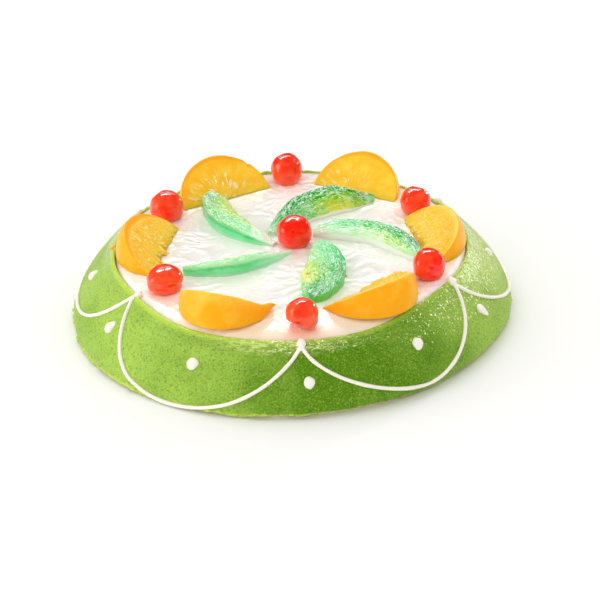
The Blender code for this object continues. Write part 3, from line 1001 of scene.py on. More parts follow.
        def height_of(vert: bmesh.types.BMVert) -> float:
            """The relief of the paste at a vertex."""
            outside, height = cover[vert.index]
            if outside <= 0.0:
                return 0.0
            foot = 1.0 - smooth(1.0 * MM, 4.0 * MM, height)
            rise = self.peel_depth * lumps(vert.co, self.peel_size, 1.0)
            rise += self.dent_depth * lumps(vert.co, self.dent_size, 2.0, 2)
            rise += self.crumb_depth * lumps(vert.co, self.crumb_size, 5.0) * foot
            return rise * outside

        dough.emboss(height_of)
        return dough.bake("marzipan_shell", material, Slot.MARZIPAN, "marzipan")


@dataclass
class SpongeBase:
    """The thin sponge layer at the foot."""

    form: CakeForm
    steps: int = 420

    def build(self, material: bpy.types.Material) -> bpy.types.Object:
        """Make the layer.

        Args:
            material: Its finish.

        Returns:
            The piece, which stands for the sponge.
        """
        form = self.form
        edge = form.bulge_radius - form.sponge_inset
        profile = [(radius * MM, 0.0) for radius in (0.0, 30.0, 60.0, 80.0, 95.0, 108.0, 118.0)]
        profile += [(edge - 0.4 * MM, 0.0), (edge - 0.1 * MM, 0.5 * MM), (edge, 1.2 * MM)]
        profile += [(edge, 2.0 * MM), (edge - 0.2 * MM, form.sponge_height)]
        profile += [(radius * MM, form.sponge_height) for radius in (110.0, 80.0, 0.0)]
        dough = Dough()
        dough.spin(profile, self.steps)
        for vert in dough.bm.verts:
            vert.co = form.settled(vert.co)

        def crumb(vert: bmesh.types.BMVert) -> float:
            """The open crumb at the cut edge."""
            side = smooth(120 * MM, 125 * MM, vert.co.xy.length) * smooth(0.0, 0.5 * MM, vert.co.z)
            return side * min(0.25 * MM, 0.6 * MM * lumps(vert.co, 2.2 * MM, 4.0))

        dough.emboss(crumb)
        return dough.bake("sponge_layer", material, Slot.SPONGE, "sponge_base")


@dataclass
class IcingPool:
    """The poured icing, which fills the marzipan's tray, rolls over at its edge and wets the fruit."""

    form: CakeForm
    steps: int = 460
    ripple_depth: float = 0.34 * MM
    ripple_size: float = 9.5 * MM
    wetting: float = 0.4 * MM
    wetting_reach: float = 1.5 * MM
    glow_reach: float = 4.0 * MM
    # angle, half width in degrees, half width across and rise of each thick place at the edge
    rolls: tuple[tuple[float, float, float, float], ...] = (
        (-139.0, 5.0, 5.0 * MM, 1.3 * MM),
        (-128.0, 7.0, 4.0 * MM, 0.6 * MM),
        (-100.0, 22.0, 7.0 * MM, 0.5 * MM),
        (-30.0, 9.0, 5.0 * MM, 0.6 * MM),
    )

    def profile(self) -> list[tuple[float, float]]:
        """The section from the middle of the underside to the middle of the top."""
        form = self.form
        edge = form.tray_radius - form.gap
        floor = form.tray_floor + form.gap
        points = [(radius * MM, floor) for radius in (0.0, 50.0, 84.0, 97.0)]
        points += [(edge, floor), (edge, 39.6 * MM), (edge, 40.4 * MM), (edge - 0.2 * MM, 40.9 * MM)]
        points += [(edge - 0.7 * MM, 41.3 * MM), (edge - 1.5 * MM, 41.6 * MM), (edge - 2.6 * MM, 41.8 * MM)]
        count = 84
        points += [(99.0 * MM * (1.0 - i / count), form.icing_top) for i in range(count + 1)]
        return points

    def ripple(self, place: Vector) -> float:
        """The folds that the icing set in: about 0, rising to 1 along their crests."""
        level = Vector((place.x, place.y, 0.0))
        swirl = Vector((lumps(level, 30 * MM, 1.0, 2), lumps(level, 30 * MM, 2.0, 2), 0.0))
        bent = level + swirl * 11.0 * MM
        line = Vector((bent.x * 0.70 + bent.y * 0.30, bent.y * 1.05 - bent.x * 0.25, 0.0))
        fold = max(0.0, 1.0 - abs(lumps(line, self.ripple_size, 3.0, 1)) * 4.2)
        cross = max(0.0, 1.0 - abs(lumps(bent, self.ripple_size * 1.1, 6.0, 1)) * 4.5)
        strong = smooth(-0.35, 0.15, lumps(level, 42 * MM, 4.0, 2))
        return max(fold, 0.9 * cross) * (0.25 + 0.75 * strong)

    def build(
        self, material: bpy.types.Material, fruit: dict[str, Sequence[Callable[[float, float], float]]]
    ) -> bpy.types.Object:
        """Make the icing.

        Args:
            material: Its finish.
            fruit: For each colour of fruit, whose light is painted onto the icing round it, how far a place is from
                each piece of that colour.

        Returns:
            The piece, which stands for the icing.
        """
        form = self.form
        dough = Dough(values=("crest", "edge", *fruit))
        dough.spin(self.profile(), self.steps)
        for vert in dough.bm.verts:
            radius, angle, height = vert.co.xy.length, math.atan2(vert.co.y, vert.co.x), vert.co.z
            place = form.settled(vert.co)
            if height > form.tray_floor + 1.0 * MM:
                top = smooth(form.icing_top - 1.4 * MM, form.icing_top - 0.1 * MM, height)
                crest = self.ripple(place)
                place.z += self.ripple_depth * (crest - 0.4) * top
                for at, wide, across, rise in self.rolls:
                    near_edge = near(radius, form.tray_radius - across, across)
                    place.z += rise * near_edge * top * bell(angle, at, wide)
                wave = ring(angle, 14.0, 2.0)
                place.z += 0.25 * MM * wave * smooth(94 * MM, 101 * MM, radius) * top
                gaps = {hue: max(0.0, min(far(place.x, place.y) for far in ones)) for hue, ones in fruit.items()}
                place.z += self.wetting * near(min(gaps.values()), 0.0, self.wetting_reach) * top
                # the sloping front edge, where shade is painted
                sloping = smooth(90 * MM, 99 * MM, radius) * near(turn(angle, form.sag_angle), 0.0, math.radians(40))
                dough.note(vert, edge=0.9 * sloping)
                # painted highlights along the ripple crests
                dough.note(vert, crest=0.85 * smooth(0.45, 0.95, crest) * top)
                # the fruit's coloured light, painted round each piece
                dough.note(vert, **{hue: 0.62 * math.exp(-gap / self.glow_reach) for hue, gap in gaps.items()})
            vert.co = place
        return dough.bake("icing_pool", material, Slot.ICING, "icing")


@dataclass(frozen=True)
class Swag:
    """One hanging line of piping between two points of the rim; angles in degrees, heights in mm."""

    start: float
    end: float
    high: float
    low: float
    depth: float
    skew: float
    down: float
    along: float

    def points(self, wall: Wall, steps: int, proud: float) -> list[Vector]:
        """The middle of the line.

        Args:
            wall: What it is piped on.
            steps: How many steps it has.
            proud: How far its middle is out of the wall.

        Returns:
            Points from one end to the other.
        """
        middle, half = (self.start + self.end) / 2.0, (self.end - self.start) / 2.0
        found = []
        for step in range(steps + 1):
            share = math.pi * step / steps
            reach = math.copysign(abs(math.cos(share)) ** self.along, math.cos(share))
            angle = middle - half * reach + self.skew * math.sin(share) ** 2
            height = mixed(self.high, self.low, (1.0 - math.cos(share)) / 2.0)
            height -= self.depth * max(0.0, math.sin(share)) ** self.down
            found.append(wall.at(math.radians(angle), max(1.9, height) * MM, proud)[0])
        return found


@dataclass(frozen=True)
class Drop:
    """One piped drop: place on the wall, size, and the way and length of the tail that the nozzle left."""

    angle: float
    height: float
    size: float = 1.0
    tail_way: float = 0.0
    tail: float = 0.3


@dataclass
class Piping:
    """The piped icing on the wall: six swags that meet at the rim, and twelve drops."""

    wall: Wall
    line_radius: float = 1.15 * MM
    line_proud: float = 0.45 * MM
    steps: int = 150
    knot_radius: float = 2.5 * MM
    drop_radius: float = 3.2 * MM
    drop_height: float = 2.2 * MM
    voxel: float = 0.38 * MM
    swags: tuple[Swag, ...] = (
        Swag(-147.5, -87.6, 41.0, 36.9, 36.7, -5.5, 1.72, 0.93),
        Swag(-87.6, -29.7, 36.9, 41.4, 32.4, 4.8, 1.36, 1.37),
        Swag(-29.7, 30.5, 41.4, 41.4, 28.8, -1.5, 1.49, 1.31),
        Swag(30.5, 91.0, 41.4, 41.4, 32.0, 3.0, 1.45, 1.10),
        Swag(91.0, 150.5, 41.4, 41.4, 30.0, -3.0, 1.55, 1.05),
        Swag(150.5, 212.5, 41.4, 41.0, 26.2, 2.1, 2.30, 0.85),
    )
    drops: tuple[Drop, ...] = (
        Drop(-117.6, 24.7, 1.08, 20.0, 0.12),
        Drop(-54.2, 27.1, 1.0, -110.0, 0.35),
        Drop(4.4, 28.5, 0.85, -60.0, 1.1),
        Drop(61.0, 26.5, 1.0, 20.0, 0.4),
        Drop(121.5, 27.5, 0.95, 200.0, 0.3),
        Drop(182.0, 28.2, 0.95, 75.0, 0.8),
        Drop(-86.1, 20.4, 0.95, -100.0, 0.35),
        Drop(-26.6, 24.4, 0.92, -62.0, 1.25),
        Drop(32.0, 22.5, 0.9, -80.0, 0.8),
        Drop(90.0, 23.5, 1.0, 150.0, 0.3),
        Drop(151.5, 22.0, 0.95, 40.0, 0.5),
        Drop(210.4, 24.1, 1.0, 60.0, 0.7),
    )

    @staticmethod
    def evened(points: Sequence[Vector], count: int) -> list[Vector]:
        """The same path, with its points an equal way apart.

        Args:
            points: The path.
            count: How many points it gets.

        Returns:
            The evened path.
        """
        lengths = [0.0]
        for here, there in zip(points, points[1:]):
            lengths.append(lengths[-1] + (there - here).length)
        even, at = [], 0
        for step in range(count):
            want = lengths[-1] * step / (count - 1)
            while at < len(points) - 2 and lengths[at + 1] < want:
                at += 1
            share = (want - lengths[at]) / (lengths[at + 1] - lengths[at])
            even.append(points[at].lerp(points[at + 1], min(1.0, share)))
        return even

    def lay_line(self, dough: Dough, points: Sequence[Vector], seed: int) -> None:
        """Add a bead of icing of uneven thickness along a path."""
        curve = bpy.data.curves.new("line", "CURVE")
        curve.dimensions = "3D"
        curve.bevel_depth = self.line_radius
        curve.bevel_resolution = 4
        curve.use_fill_caps = True
        spline = curve.splines.new("POLY")
        spline.points.add(len(points) - 1)
        for target, point in zip(spline.points, points):
            target.co = (*point, 1.0)
            target.radius = 1.0 + 0.13 * lumps(point, 9.0 * MM, float(seed), 2)
        line = placed("line", curve)
        dough.bm.from_mesh(shaped(line))
        bpy.data.objects.remove(line)

    def lay_bead(self, dough: Dough, at: tuple[Vector, Vector], radius: float, height: float, drop: Drop) -> None:
        """Add a drop that sits on the wall.

        Args:
            dough: What it is added to.
            at: Its place, and the way out of the wall there.
            radius: Its half width.
            height: How far it stands out.
            drop: The size and the tail it has.
        """
        place, normal = at
        made = bmesh.ops.create_icosphere(dough.bm, subdivisions=4, radius=1.0)["verts"]
        side = UP.cross(normal).normalized()
        rise = normal.cross(side).normalized()
        way = side * math.cos(math.radians(drop.tail_way)) + rise * math.sin(math.radians(drop.tail_way))
        for vert in made:
            round_way = vert.co.normalized()
            flat = side * round_way.x + rise * round_way.y
            pull = max(0.0, flat.dot(way)) ** 3
            uneven = 1.0 + 0.14 * noise.noise(round_way * 1.3 + Vector((drop.angle, 0.0, 0.0)))
            lift = round_way.z * height * (1.0 - 0.35 * pull)
            spot = flat * radius * uneven * drop.size + way * pull * drop.tail * radius
            vert.co = place + spot + normal * lift

    def build(self, material: bpy.types.Material) -> None:
        """Pipe the swags and the drops.

        Args:
            material: Their finish.
        """
        dough = Dough()
        for i, swag in enumerate(self.swags):
            path = self.evened(swag.points(self.wall, self.steps, self.line_proud), self.steps)
            self.lay_line(dough, path, i)
            at = self.wall.at(math.radians(swag.start), swag.high * MM, 0.5 * MM)
            knot = Drop(swag.start, swag.high, 1.0, 90.0, 0.45)
            self.lay_bead(dough, at, self.knot_radius, self.knot_radius * 0.95, knot)
        self.fuse(dough.bake("piped_swags", material, Slot.ICING))
        dough = Dough()
        for drop in self.drops:
            at = self.wall.at(math.radians(drop.angle), drop.height * MM)
            self.lay_bead(dough, at, self.drop_radius, self.drop_height, drop)
        dough.bake("piped_drops", material, Slot.ICING)

    def fuse(self, piece: bpy.types.Object) -> None:
        """Run the lines of a piece into each other where they cross."""
        remesh = piece.modifiers.new("fuse", "REMESH")
        remesh.mode = "VOXEL"
        remesh.voxel_size = self.voxel
        remesh.use_smooth_shade = True
        mesh = shaped(piece)
        piece.modifiers.clear()
        old = piece.data
        bm = bmesh.new()
        bm.from_mesh(mesh)
        relax(bm, bm.verts, 3)
        bm.to_mesh(mesh)
        bm.free()
        if not mesh.materials:
            mesh.materials.append(old.materials[0])
        piece.data = mesh
        bpy.data.meshes.remove(old)


# ---------------------------------------------------------------------------------------------
# The fruit
# ---------------------------------------------------------------------------------------------


@dataclass(frozen=True)
class Hollow:
    """A dimple or crease in a cherry: the way it faces, how wide and deep it is, and how drawn out."""

    way: tuple[float, float, float]
    width: float
    depth: float
    stretch: tuple[float, float, float] = (1.0, 1.0, 1.0)

    def at(self, way: Vector) -> float:
        """How much of the hollow there is in a direction, from 0 to 1."""
        off = way - Vector(self.way).normalized()
        far = Vector((off.x * self.stretch[0], off.y * self.stretch[1], off.z * self.stretch[2])).length
        return math.exp(-((far / self.width) ** 2))


@dataclass
class Cherry:
    """One candied cherry, flat where it rests; its place and half sizes in mm."""

    name: str
    x: float
    y: float
    wide: float
    high: float
    seed: int
    hollows: tuple[Hollow, ...] = ()
    warmth: float = 0.3
    flats: tuple[tuple[tuple[float, float, float], float], ...] = ()
    base_share: float = 0.86
    dimple: float = 0.12
    squareness: float = 2.7

    def far(self, x: float, y: float) -> float:
        """How far a place on the icing is from its foot."""
        return math.hypot(x - self.x * MM, y - self.y * MM) - self.wide * 0.78 * MM

    def build(self, material: bpy.types.Material) -> bpy.types.Object:
        """Make the cherry.

        Args:
            material: Its finish.

        Returns:
            The piece, which stands for the node of the same place.
        """
        node = f"cherry_{self.name}"
        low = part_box(node)[0]
        dough = Dough(values=("hollow", "warmth"))
        bmesh.ops.create_icosphere(dough.bm, subdivisions=6, radius=1.0)
        wide, tall = self.wide * MM, self.high * MM
        stem = Vector((math.cos(1.9 * self.seed), math.sin(1.9 * self.seed) - 0.4, 0.35)).normalized()
        middle = Vector((self.x * MM, self.y * MM, low.z + self.base_share * tall))
        for vert in dough.bm.verts:
            way = vert.co.normalized()
            squat = (math.hypot(way.x, way.y) ** self.squareness + abs(way.z) ** self.squareness) ** (
                -1.0 / self.squareness
            )
            uneven = 1.0 + 0.05 * noise.noise(way * 1.4 + Vector((self.seed * 3.1, 0.0, 0.0)))
            uneven += (squat - 1.0) * smooth(0.0, 0.5, -way.z)
            uneven -= self.dimple * smooth(0.86, 1.0, way.dot(stem)) if not self.hollows else 0.0
            uneven += 0.012 * noise.noise(way * 4.0 + Vector((0.0, self.seed * 2.3, 0.0)))
            deep = 0.0
            for hollow in self.hollows:
                here = hollow.at(way)
                uneven -= hollow.depth * here
                deep = max(deep, here * min(1.0, hollow.depth * 8.0))
            ball = way * uneven
            for facing, reach in self.flats:
                axis = Vector(facing).normalized()
                ball -= axis * 0.8 * max(0.0, ball.dot(axis) - reach)
            spot = Vector((ball.x * wide, ball.y * wide, ball.z * tall))
            floor = -self.base_share * tall
            spot.z = max(floor, spot.z)
            vert.co = middle + spot
            # painted light and shade: a glow low down, and shade on the crown
            painted_low_glow = 0.5 * smooth(0.1, 0.9, -way.z)
            painted_crown_shade = 0.35 * smooth(0.80, 0.97, way.z)
            dough.note(vert, hollow=max(0.85 * deep, painted_crown_shade), warmth=self.warmth + painted_low_glow)
        return dough.bake(f"candied_{node}", material, Slot.CHERRY, node)


@dataclass
class OrangeWedge:
    """One wedge of candied orange: two cut faces that meet at the core, and the skin between."""

    name: str
    x: float
    y: float
    z: float
    heading: float
    half_length: float
    depth: float
    low: float
    high: float
    seed: int
    torn: float = 0.4
    pulp: float = 0.5
    pulp_middle: float = 0.0
    pulp_reach: float = 0.6
    nick: float | None = None
    curl: float = 0.0
    heap: float = 0.0
    grainy: float = 0.0
    # how much light is painted on the upward skin; below zero, painted shade
    sheen: float = 0.3
    taper: float = 0.5
    core: float = 0.7
    rind_from: float = 1.0
    rows: int = 112
    columns: int = 136
    lower_ends: float = 0.28
    skin_ends: float = 0.58
    upper_ends: float = 0.985

    def axes(self) -> tuple[Vector, Vector]:
        """The way along the core, and the way out from it."""
        along = heading(self.heading)
        out = Vector((along.y, -along.x, 0.0))
        if out.dot(Vector((self.x, self.y, 0.0))) < 0:
            out.negate()
        return along, out

    def far(self, x: float, y: float) -> float:
        """How far a place on the icing is from its foot."""
        along, out = self.axes()
        off = Vector((x / MM - self.x, y / MM - self.y, 0.0))
        run, reach = off.dot(along), off.dot(out)
        if reach < 0.0:
            return math.hypot(max(0.0, abs(run) - self.half_length), reach) * MM
        return (math.hypot(run / self.half_length, reach / self.depth) - 1.0) * self.depth * MM

    def build(self, material: bpy.types.Material) -> bpy.types.Object:
        """Make the wedge.

        Args:
            material: Its finish.

        Returns:
            The piece, which stands for the node of the same place.
        """
        along, out = self.axes()
        core = Vector((self.x, self.y, self.z)) * MM
        dough = Dough(values=("flesh", "reach", "pulp", "grainy", "amber", "sheen"), vectors=("fibre",))
        rims: list[bmesh.types.BMVert] = []

        def shape(vert: bmesh.types.BMVert, u: float, v: float) -> Vector:
            """Where a vertex goes, along the wedge by u and round its section by v."""
            share = -math.cos(math.pi * u)
            full = max(0.0, 1.0 - share * share) ** mixed(0.5, self.taper, smooth(0.0, 0.9, share))
            reach, flesh, ledge = 1.0, 0.0, 0.0
            lift = math.radians(self.low)
            if v < self.lower_ends:
                reach, flesh = v / self.lower_ends, 1.0
            elif v < self.skin_ends:
                turned = (v - self.lower_ends) / (self.skin_ends - self.lower_ends)
                lift = math.radians(mixed(self.low, self.high, turned))
            elif v < self.upper_ends:
                reach, flesh, ledge = 1.0 - (v - self.skin_ends) / (self.upper_ends - self.skin_ends), 1.0, 1.0
                lift = math.radians(self.high)
            else:
                reach, flesh, ledge = 0.0, 1.0, 1.0 - (v - self.upper_ends) / (1.0 - self.upper_ends)
            way = out * math.cos(lift) + UP * math.sin(lift)
            uneven = 1.0 + 0.03 * noise.noise(way * 2.0 + along * share * 1.5 + UP * self.seed * 2.7)
            if self.nick is not None:
                uneven -= 0.11 * near(share, self.nick, 0.03) * smooth(self.high - 14, self.high, math.degrees(lift))
            middle = core + along * (self.half_length * MM * share)
            start = middle + UP * (self.core * MM * ledge * full)
            rim = middle + way * (self.depth * MM * full * uneven)
            place = start.lerp(rim, reach)
            near_core = (1.0 - smooth(0.0, 0.32, reach)) * full * flesh
            if near_core > 0.0 and ledge > 0.0:
                run = along * share * self.half_length * MM
                tear = lumps(run + way * reach * 9.0 * MM, 4.5 * MM, self.seed + 0.5)
                step = lumps(run + way * reach * 4.0 * MM, 1.5 * MM, self.seed + 9.0)
                place += out * (self.torn * MM * (tear + 0.7 * step - 0.2) * near_core)
                place += UP * (0.25 * self.torn * MM * max(0.0, step + 0.4) * near_core)
            if self.heap and ledge > 0.0:
                clump = 0.8 + 0.45 * lumps(place, 4.0 * MM, self.seed + 3.0)
                place += UP * (self.heap * MM * (1.0 - reach**3) * full * near(share, 0.45, 0.42) * clump * ledge)
            if self.curl:
                place += UP * self.curl * MM * smooth(0.84, 1.0, share)
            if min(abs(v - self.lower_ends), abs(v - self.skin_ends)) < 0.022:
                rims.append(vert)
            spot_along, spot_out = share * self.half_length, reach * full * self.depth
            spread = math.atan2(spot_out + 3.0, spot_along) * self.half_length * 0.6
            limit = mixed(0.36, 0.62, self.grainy)
            juicy = near(share, self.pulp_middle, self.pulp_reach) * (1.0 - smooth(limit, limit + 0.38, reach))
            outer = 0.55 * smooth(0.55 - 0.2 * self.grainy, 1.0, reach)
            # painted shade: a deeper amber on the torn face of the grainy wedges
            torn = self.grainy * (0.15 + 0.8 * (1.0 - smooth(0.8, 3.5, spot_out)))
            dough.note(
                vert,
                flesh=flesh * (1.0 - smooth(self.rind_from - 0.035, 1.0, reach / self.rind_from)),
                reach=reach / self.rind_from,
                pulp=min(1.0, self.pulp * juicy * flesh),
                grainy=self.grainy,
                amber=outer - 0.15 * share + torn,
                # painted light on the upward skin, or painted shade where it is below zero
                sheen=self.sheen * smooth(0.3, 1.0, math.sin(lift)) * 1.6,
                fibre=Vector((spread, math.hypot(spot_along, spot_out), self.seed * 11.0)) * MM,
            )
            return place

        dough.weave(self.rows, self.columns, shape)
        relax(dough.bm, [vert for vert in rims if vert.is_valid], 3)
        flesh_layer, fibre_layer = dough.layers["flesh"], dough.layers["fibre"]

        def height_of(vert: bmesh.types.BMVert) -> float:
            """The relief at a vertex: strands on the cut faces, faint waves on the skin."""
            flesh = vert[flesh_layer]
            lay = vert[fibre_layer]
            strand = noise.noise(Vector((lay.x / (2.2 * MM), lay.y / (9.0 * MM), self.seed * 3.0)))
            rise = 0.08 * MM * strand * flesh + 0.22 * MM * lumps(vert.co, 7.0 * MM, self.seed + 4.0, 2)
            return rise if vert.co.z > core.z + 0.8 * MM else 0.0

        dough.emboss(height_of)
        return dough.bake(f"candied_{self.name}", material, Slot.ORANGE, self.name)


@dataclass(frozen=True)
class Dab:
    """A patch of dye on a slice of citron: shares along and across it, how far it reaches, how strong."""

    along: float
    across: float
    long: float
    broad: float
    dye: Dye
    strength: float = 1.0

    def at(self, along: float, across: float) -> float:
        """How much of the dye is at a place."""
        far = ((along - self.along) / self.long) ** 2 + ((across - self.across) / self.broad) ** 2
        return self.strength * math.exp(-far)


def dyed(base: Vector, dye: Dye, share: float) -> Vector:
    """A colour with a share of a dye over it."""
    return base.lerp(Vector(dye.value), min(1.0, max(0.0, share)))


@dataclass
class CitronLeaf:
    """One slice of candied citron, cut like a leaf: flat below, sides upright, its top domed and sugared.

    Places, widths and thicknesses are in mm; across runs from -1 to 1, with 1 on the left of the way
    from the inner to the outer end.
    """

    name: str
    inner: tuple[float, float]
    outer: tuple[float, float]
    bow: float
    half_width: float
    widest: float
    inner_share: float
    blunt: float
    low: float
    tall: float
    end_tall: float
    lean: float
    seed: int
    base: Dye
    dabs: tuple[Dab, ...]
    side_low: Dye
    side_high: Dye
    sugar: float = 1.0
    wrinkle: float = 1.0
    dome: float = 0.3
    waver: float = 0.9
    seam: float = 0.0
    faded: float = 0.2
    rows: int = 236
    columns: int = 92
    cap_rows: int = 6
    left_top: float = 0.15
    right_top: float = 0.70
    right_foot: float = 0.85

    def section(self, v: float) -> tuple[float, float]:
        """The place on the section at a share of the way round it: across, and share of the height."""
        shoulder = 1.0 - self.dome
        if v < self.left_top:
            share = v / self.left_top
            return mixed(-0.97, -1.0, share), shoulder * share
        if v < self.right_top:
            across = mixed(-1.0, 1.0, (v - self.left_top) / (self.right_top - self.left_top))
            return across, 1.0 - self.dome * abs(across) ** mixed(3.4, 2.4, self.dome)
        if v < self.right_foot:
            share = (v - self.right_top) / (self.right_foot - self.right_top)
            return mixed(1.0, 0.97, share), shoulder * (1.0 - share)
        return mixed(0.97, -0.97, (v - self.right_foot) / (1.0 - self.right_foot)), 0.0

    def axis(self) -> tuple[Vector, Vector, Vector, Vector]:
        """Its two ends, the way along it and the way to its left."""
        start, end = Vector((*self.inner, 0.0)), Vector((*self.outer, 0.0))
        along = (end - start).normalized()
        return start, end, along, Vector((-along.y, along.x, 0.0))

    def far(self, x: float, y: float) -> float:
        """How far a place on the icing is from its foot."""
        start, end, _, left = self.axis()
        spot, least = Vector((x, y, 0.0)) / MM, 1e3
        for step in range(1, 14):
            share = step / 14
            middle = start.lerp(end, share) + left * self.bow * math.sin(math.pi * share)
            least = min(least, (spot - middle).length - self.half_width * self.width_at(share) * 0.85)
        return least * MM

    def width_at(self, share: float) -> float:
        """The share of the full width at a share of the length."""
        if share < self.widest:
            return self.inner_share + (1.0 - self.inner_share) * math.sin(0.5 * math.pi * share / self.widest)
        return math.sqrt(max(0.0, 1.0 - ((share - self.widest) / (1.0 - self.widest)) ** self.blunt))

    def thickness_at(self, share: float) -> float:
        """The height of the slice at a share of its length."""
        thick = self.low + (self.tall - self.low) * smooth(0.0, 0.4, share)
        thick += (self.end_tall - self.tall) * smooth(0.65, 1.0, share)
        return thick * (1.0 + 0.06 * noise.noise(Vector((share * 5.0, self.seed * 1.7, 0.0))))

    def crinkle(self, run: float, flat: float) -> float:
        """The crinkles of the cut top, from 0 in a groove to 1 on a ridge."""
        seed = self.seed * 5.0
        warp = 1.6 * noise.noise(Vector((run / 7.0, flat / 5.0, seed + 1.0)))
        line = noise.noise(Vector((run / 9.0, (flat + warp) / 1.8, seed)))
        net = noise.noise(Vector((run / 4.0, (flat - warp) / 2.1, seed + 2.0)))
        ridge = 1.0 - min(1.0, abs(line) * 3.2)
        return min(1.0, max(0.0, 0.62 * ridge + 0.5 * max(0.0, 1.0 - abs(net) * 3.6)))

    def colour_at(self, along: float, across: float, lift: float, wander: float) -> Vector:
        """The dye at a place.

        Args:
            along: Its share of the length.
            across: Where it is across, from -1 to 1.
            lift: Its share of the height.
            wander: How far the edges of the patches stray there.

        Returns:
            Its colour.
        """
        shoulder = 1.0 - self.dome
        colour = Vector(self.base.value)
        for dab in self.dabs:
            colour = dyed(colour, dab.dye, dab.at(along + 0.4 * wander, across + wander))
        flank = dyed(Vector(self.side_low.value), self.side_high, smooth(0.25, 0.8, lift))
        colour = flank.lerp(colour, smooth(shoulder * 0.65, shoulder, lift))
        melting = 0.65 * (1.0 - smooth(0.0, 0.22, lift)) + 0.65 * (1.0 - smooth(0.0, self.faded, along))
        seam = near(lift, shoulder * 0.62 + 0.3 * wander, 0.11) * smooth(-0.25, 0.1, wander)
        return dyed(dyed(colour, Dye.EMERALD, self.seam * seam), Dye.WATER, melting)

    def build(self, material: bpy.types.Material) -> bpy.types.Object:
        """Make the slice.

        Args:
            material: Its finish.

        Returns:
            The piece, which stands for the node of the same place.
        """
        start, end, along, left = self.axis()
        length = (end - start).length
        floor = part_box(self.name)[0].z / MM - 0.4
        cap = self.cap_rows / self.rows
        shoulder = 1.0 - self.dome
        dough = Dough(values=("sugar", "ridge", "top"), vectors=("lay",), colours=("dye",))
        edges: list[bmesh.types.BMVert] = []

        def shape(vert: bmesh.types.BMVert, u: float, v: float) -> Vector:
            """Where a vertex goes, along the slice by u and round its section by v."""
            run_share = min(1.0, max(0.0, (u - cap) / (1.0 - 2.0 * cap)))
            share = min(0.997, 0.5 - 0.5 * math.cos(math.pi * run_share))
            scale = min(1.0, u / cap, (1.0 - u) / cap)
            scale = math.sqrt(max(0.0, 1.0 - (1.0 - scale) ** 2))
            middle = start.lerp(end, share) + left * self.bow * math.sin(math.pi * share)
            run = along * length + left * self.bow * math.pi * math.cos(math.pi * share)
            side = Vector((-run.y, run.x, 0.0)).normalized()
            melt = smooth(-0.04, 0.14, share)
            width = self.width_at(share) * mixed(0.55, 1.0, melt)
            thick = self.thickness_at(share) * mixed(0.45, 1.0, melt) + 0.4
            across, lift = self.section(v)
            flat = self.half_width * width * across
            rise = thick * lift * (1.0 + self.lean * across)
            run_mm = share * length
            on_top = smooth(shoulder * 0.72, shoulder * 1.02, lift)
            hand = 1.0 if across > 0 else -1.0
            ridge = self.crinkle(run_mm, flat + (thick - rise) * hand)
            grit = noise.noise(Vector((run_mm, flat / 0.8, self.seed * 3.0)))
            rough = on_top * (self.wrinkle * (ridge - 0.4) + 0.14 * self.sugar * grit)
            swell = lumps(Vector((run_mm / 6.0, rise / 2.5, self.seed * 2.0)), 1.0, 2.0, 2)
            flat += 0.3 * swell * hand * smooth(0.1, 0.4, lift) * (1.0 - on_top)
            sway = self.waver * noise.noise(Vector((run_mm / 8.0, self.seed * 3.3, hand)))
            flat += sway * abs(across) * melt
            point = middle + side * flat
            place = Vector((point.x, point.y, floor + rise + rough * (0.4 + 0.6 * (1.0 - abs(across))))) * MM
            centre = Vector((middle.x, middle.y, floor + thick * 0.45)) * MM
            if scale < 1.0:
                place = centre.lerp(place, scale)
            if min(abs(v - self.left_top), abs(v - self.right_top)) < 0.016 or u < 1.6 * cap or u > 1.0 - 1.6 * cap:
                edges.append(vert)
            wander = 0.30 * lumps(Vector((run_mm, flat, self.seed * 9.0)), 7.0, 3.0, 2)
            colour = self.colour_at(share, across, lift, wander)
            crust = self.sugar * mixed(0.25, 1.0, smooth(0.35, 0.85, 1.0 - colour.x))
            crust *= mixed(0.35, 1.0, smooth(0.0, 0.30, share))
            dough.note(
                vert,
                sugar=crust * (0.06 + 0.94 * on_top) if lift > 0.0 else 0.0,
                ridge=ridge,
                top=min(1.0, 0.8 * self.wrinkle) * on_top * mixed(0.3, 1.0, smooth(0.0, 0.30, share)),
                lay=Vector((run_mm, flat, rise + self.seed * 40.0)) * MM,
                dye=(*colour, 1.0),
            )
            return place

        dough.weave(self.rows, self.columns, shape)
        relax(dough.bm, [vert for vert in edges if vert.is_valid], 2)
        return dough.bake(f"candied_{self.name}", material, Slot.CITRON, self.name)


@dataclass
class Crumbs:
    """Loose crumbs of one kind: each one's place, in mm, and its half size."""

    name: str
    slot: Slot
    places: tuple[tuple[float, float, float, float], ...]

    def build(self, material: bpy.types.Material) -> bpy.types.Object:
        """Make the crumbs.

        Args:
            material: Their finish.

        Returns:
            The piece.
        """
        dough = Dough()
        for i, (x, y, z, size) in enumerate(self.places):
            made = bmesh.ops.create_icosphere(dough.bm, subdivisions=3, radius=1.0)["verts"]
            for vert in made:
                way = vert.co.normalized()
                crag = 1.0 + 0.5 * noise.noise(way * 1.3 + Vector((i * 5.0, 0.0, 0.0)))
                crag += 0.2 * noise.noise(way * 3.5 + Vector((0.0, i * 5.0, 0.0)))
                vert.co = Vector((x, y, z)) * MM + Vector((way.x, way.y, way.z * 0.75)) * size * crag * MM
        return dough.bake(self.name, material, self.slot)


# ---------------------------------------------------------------------------------------------
# The studio
# ---------------------------------------------------------------------------------------------


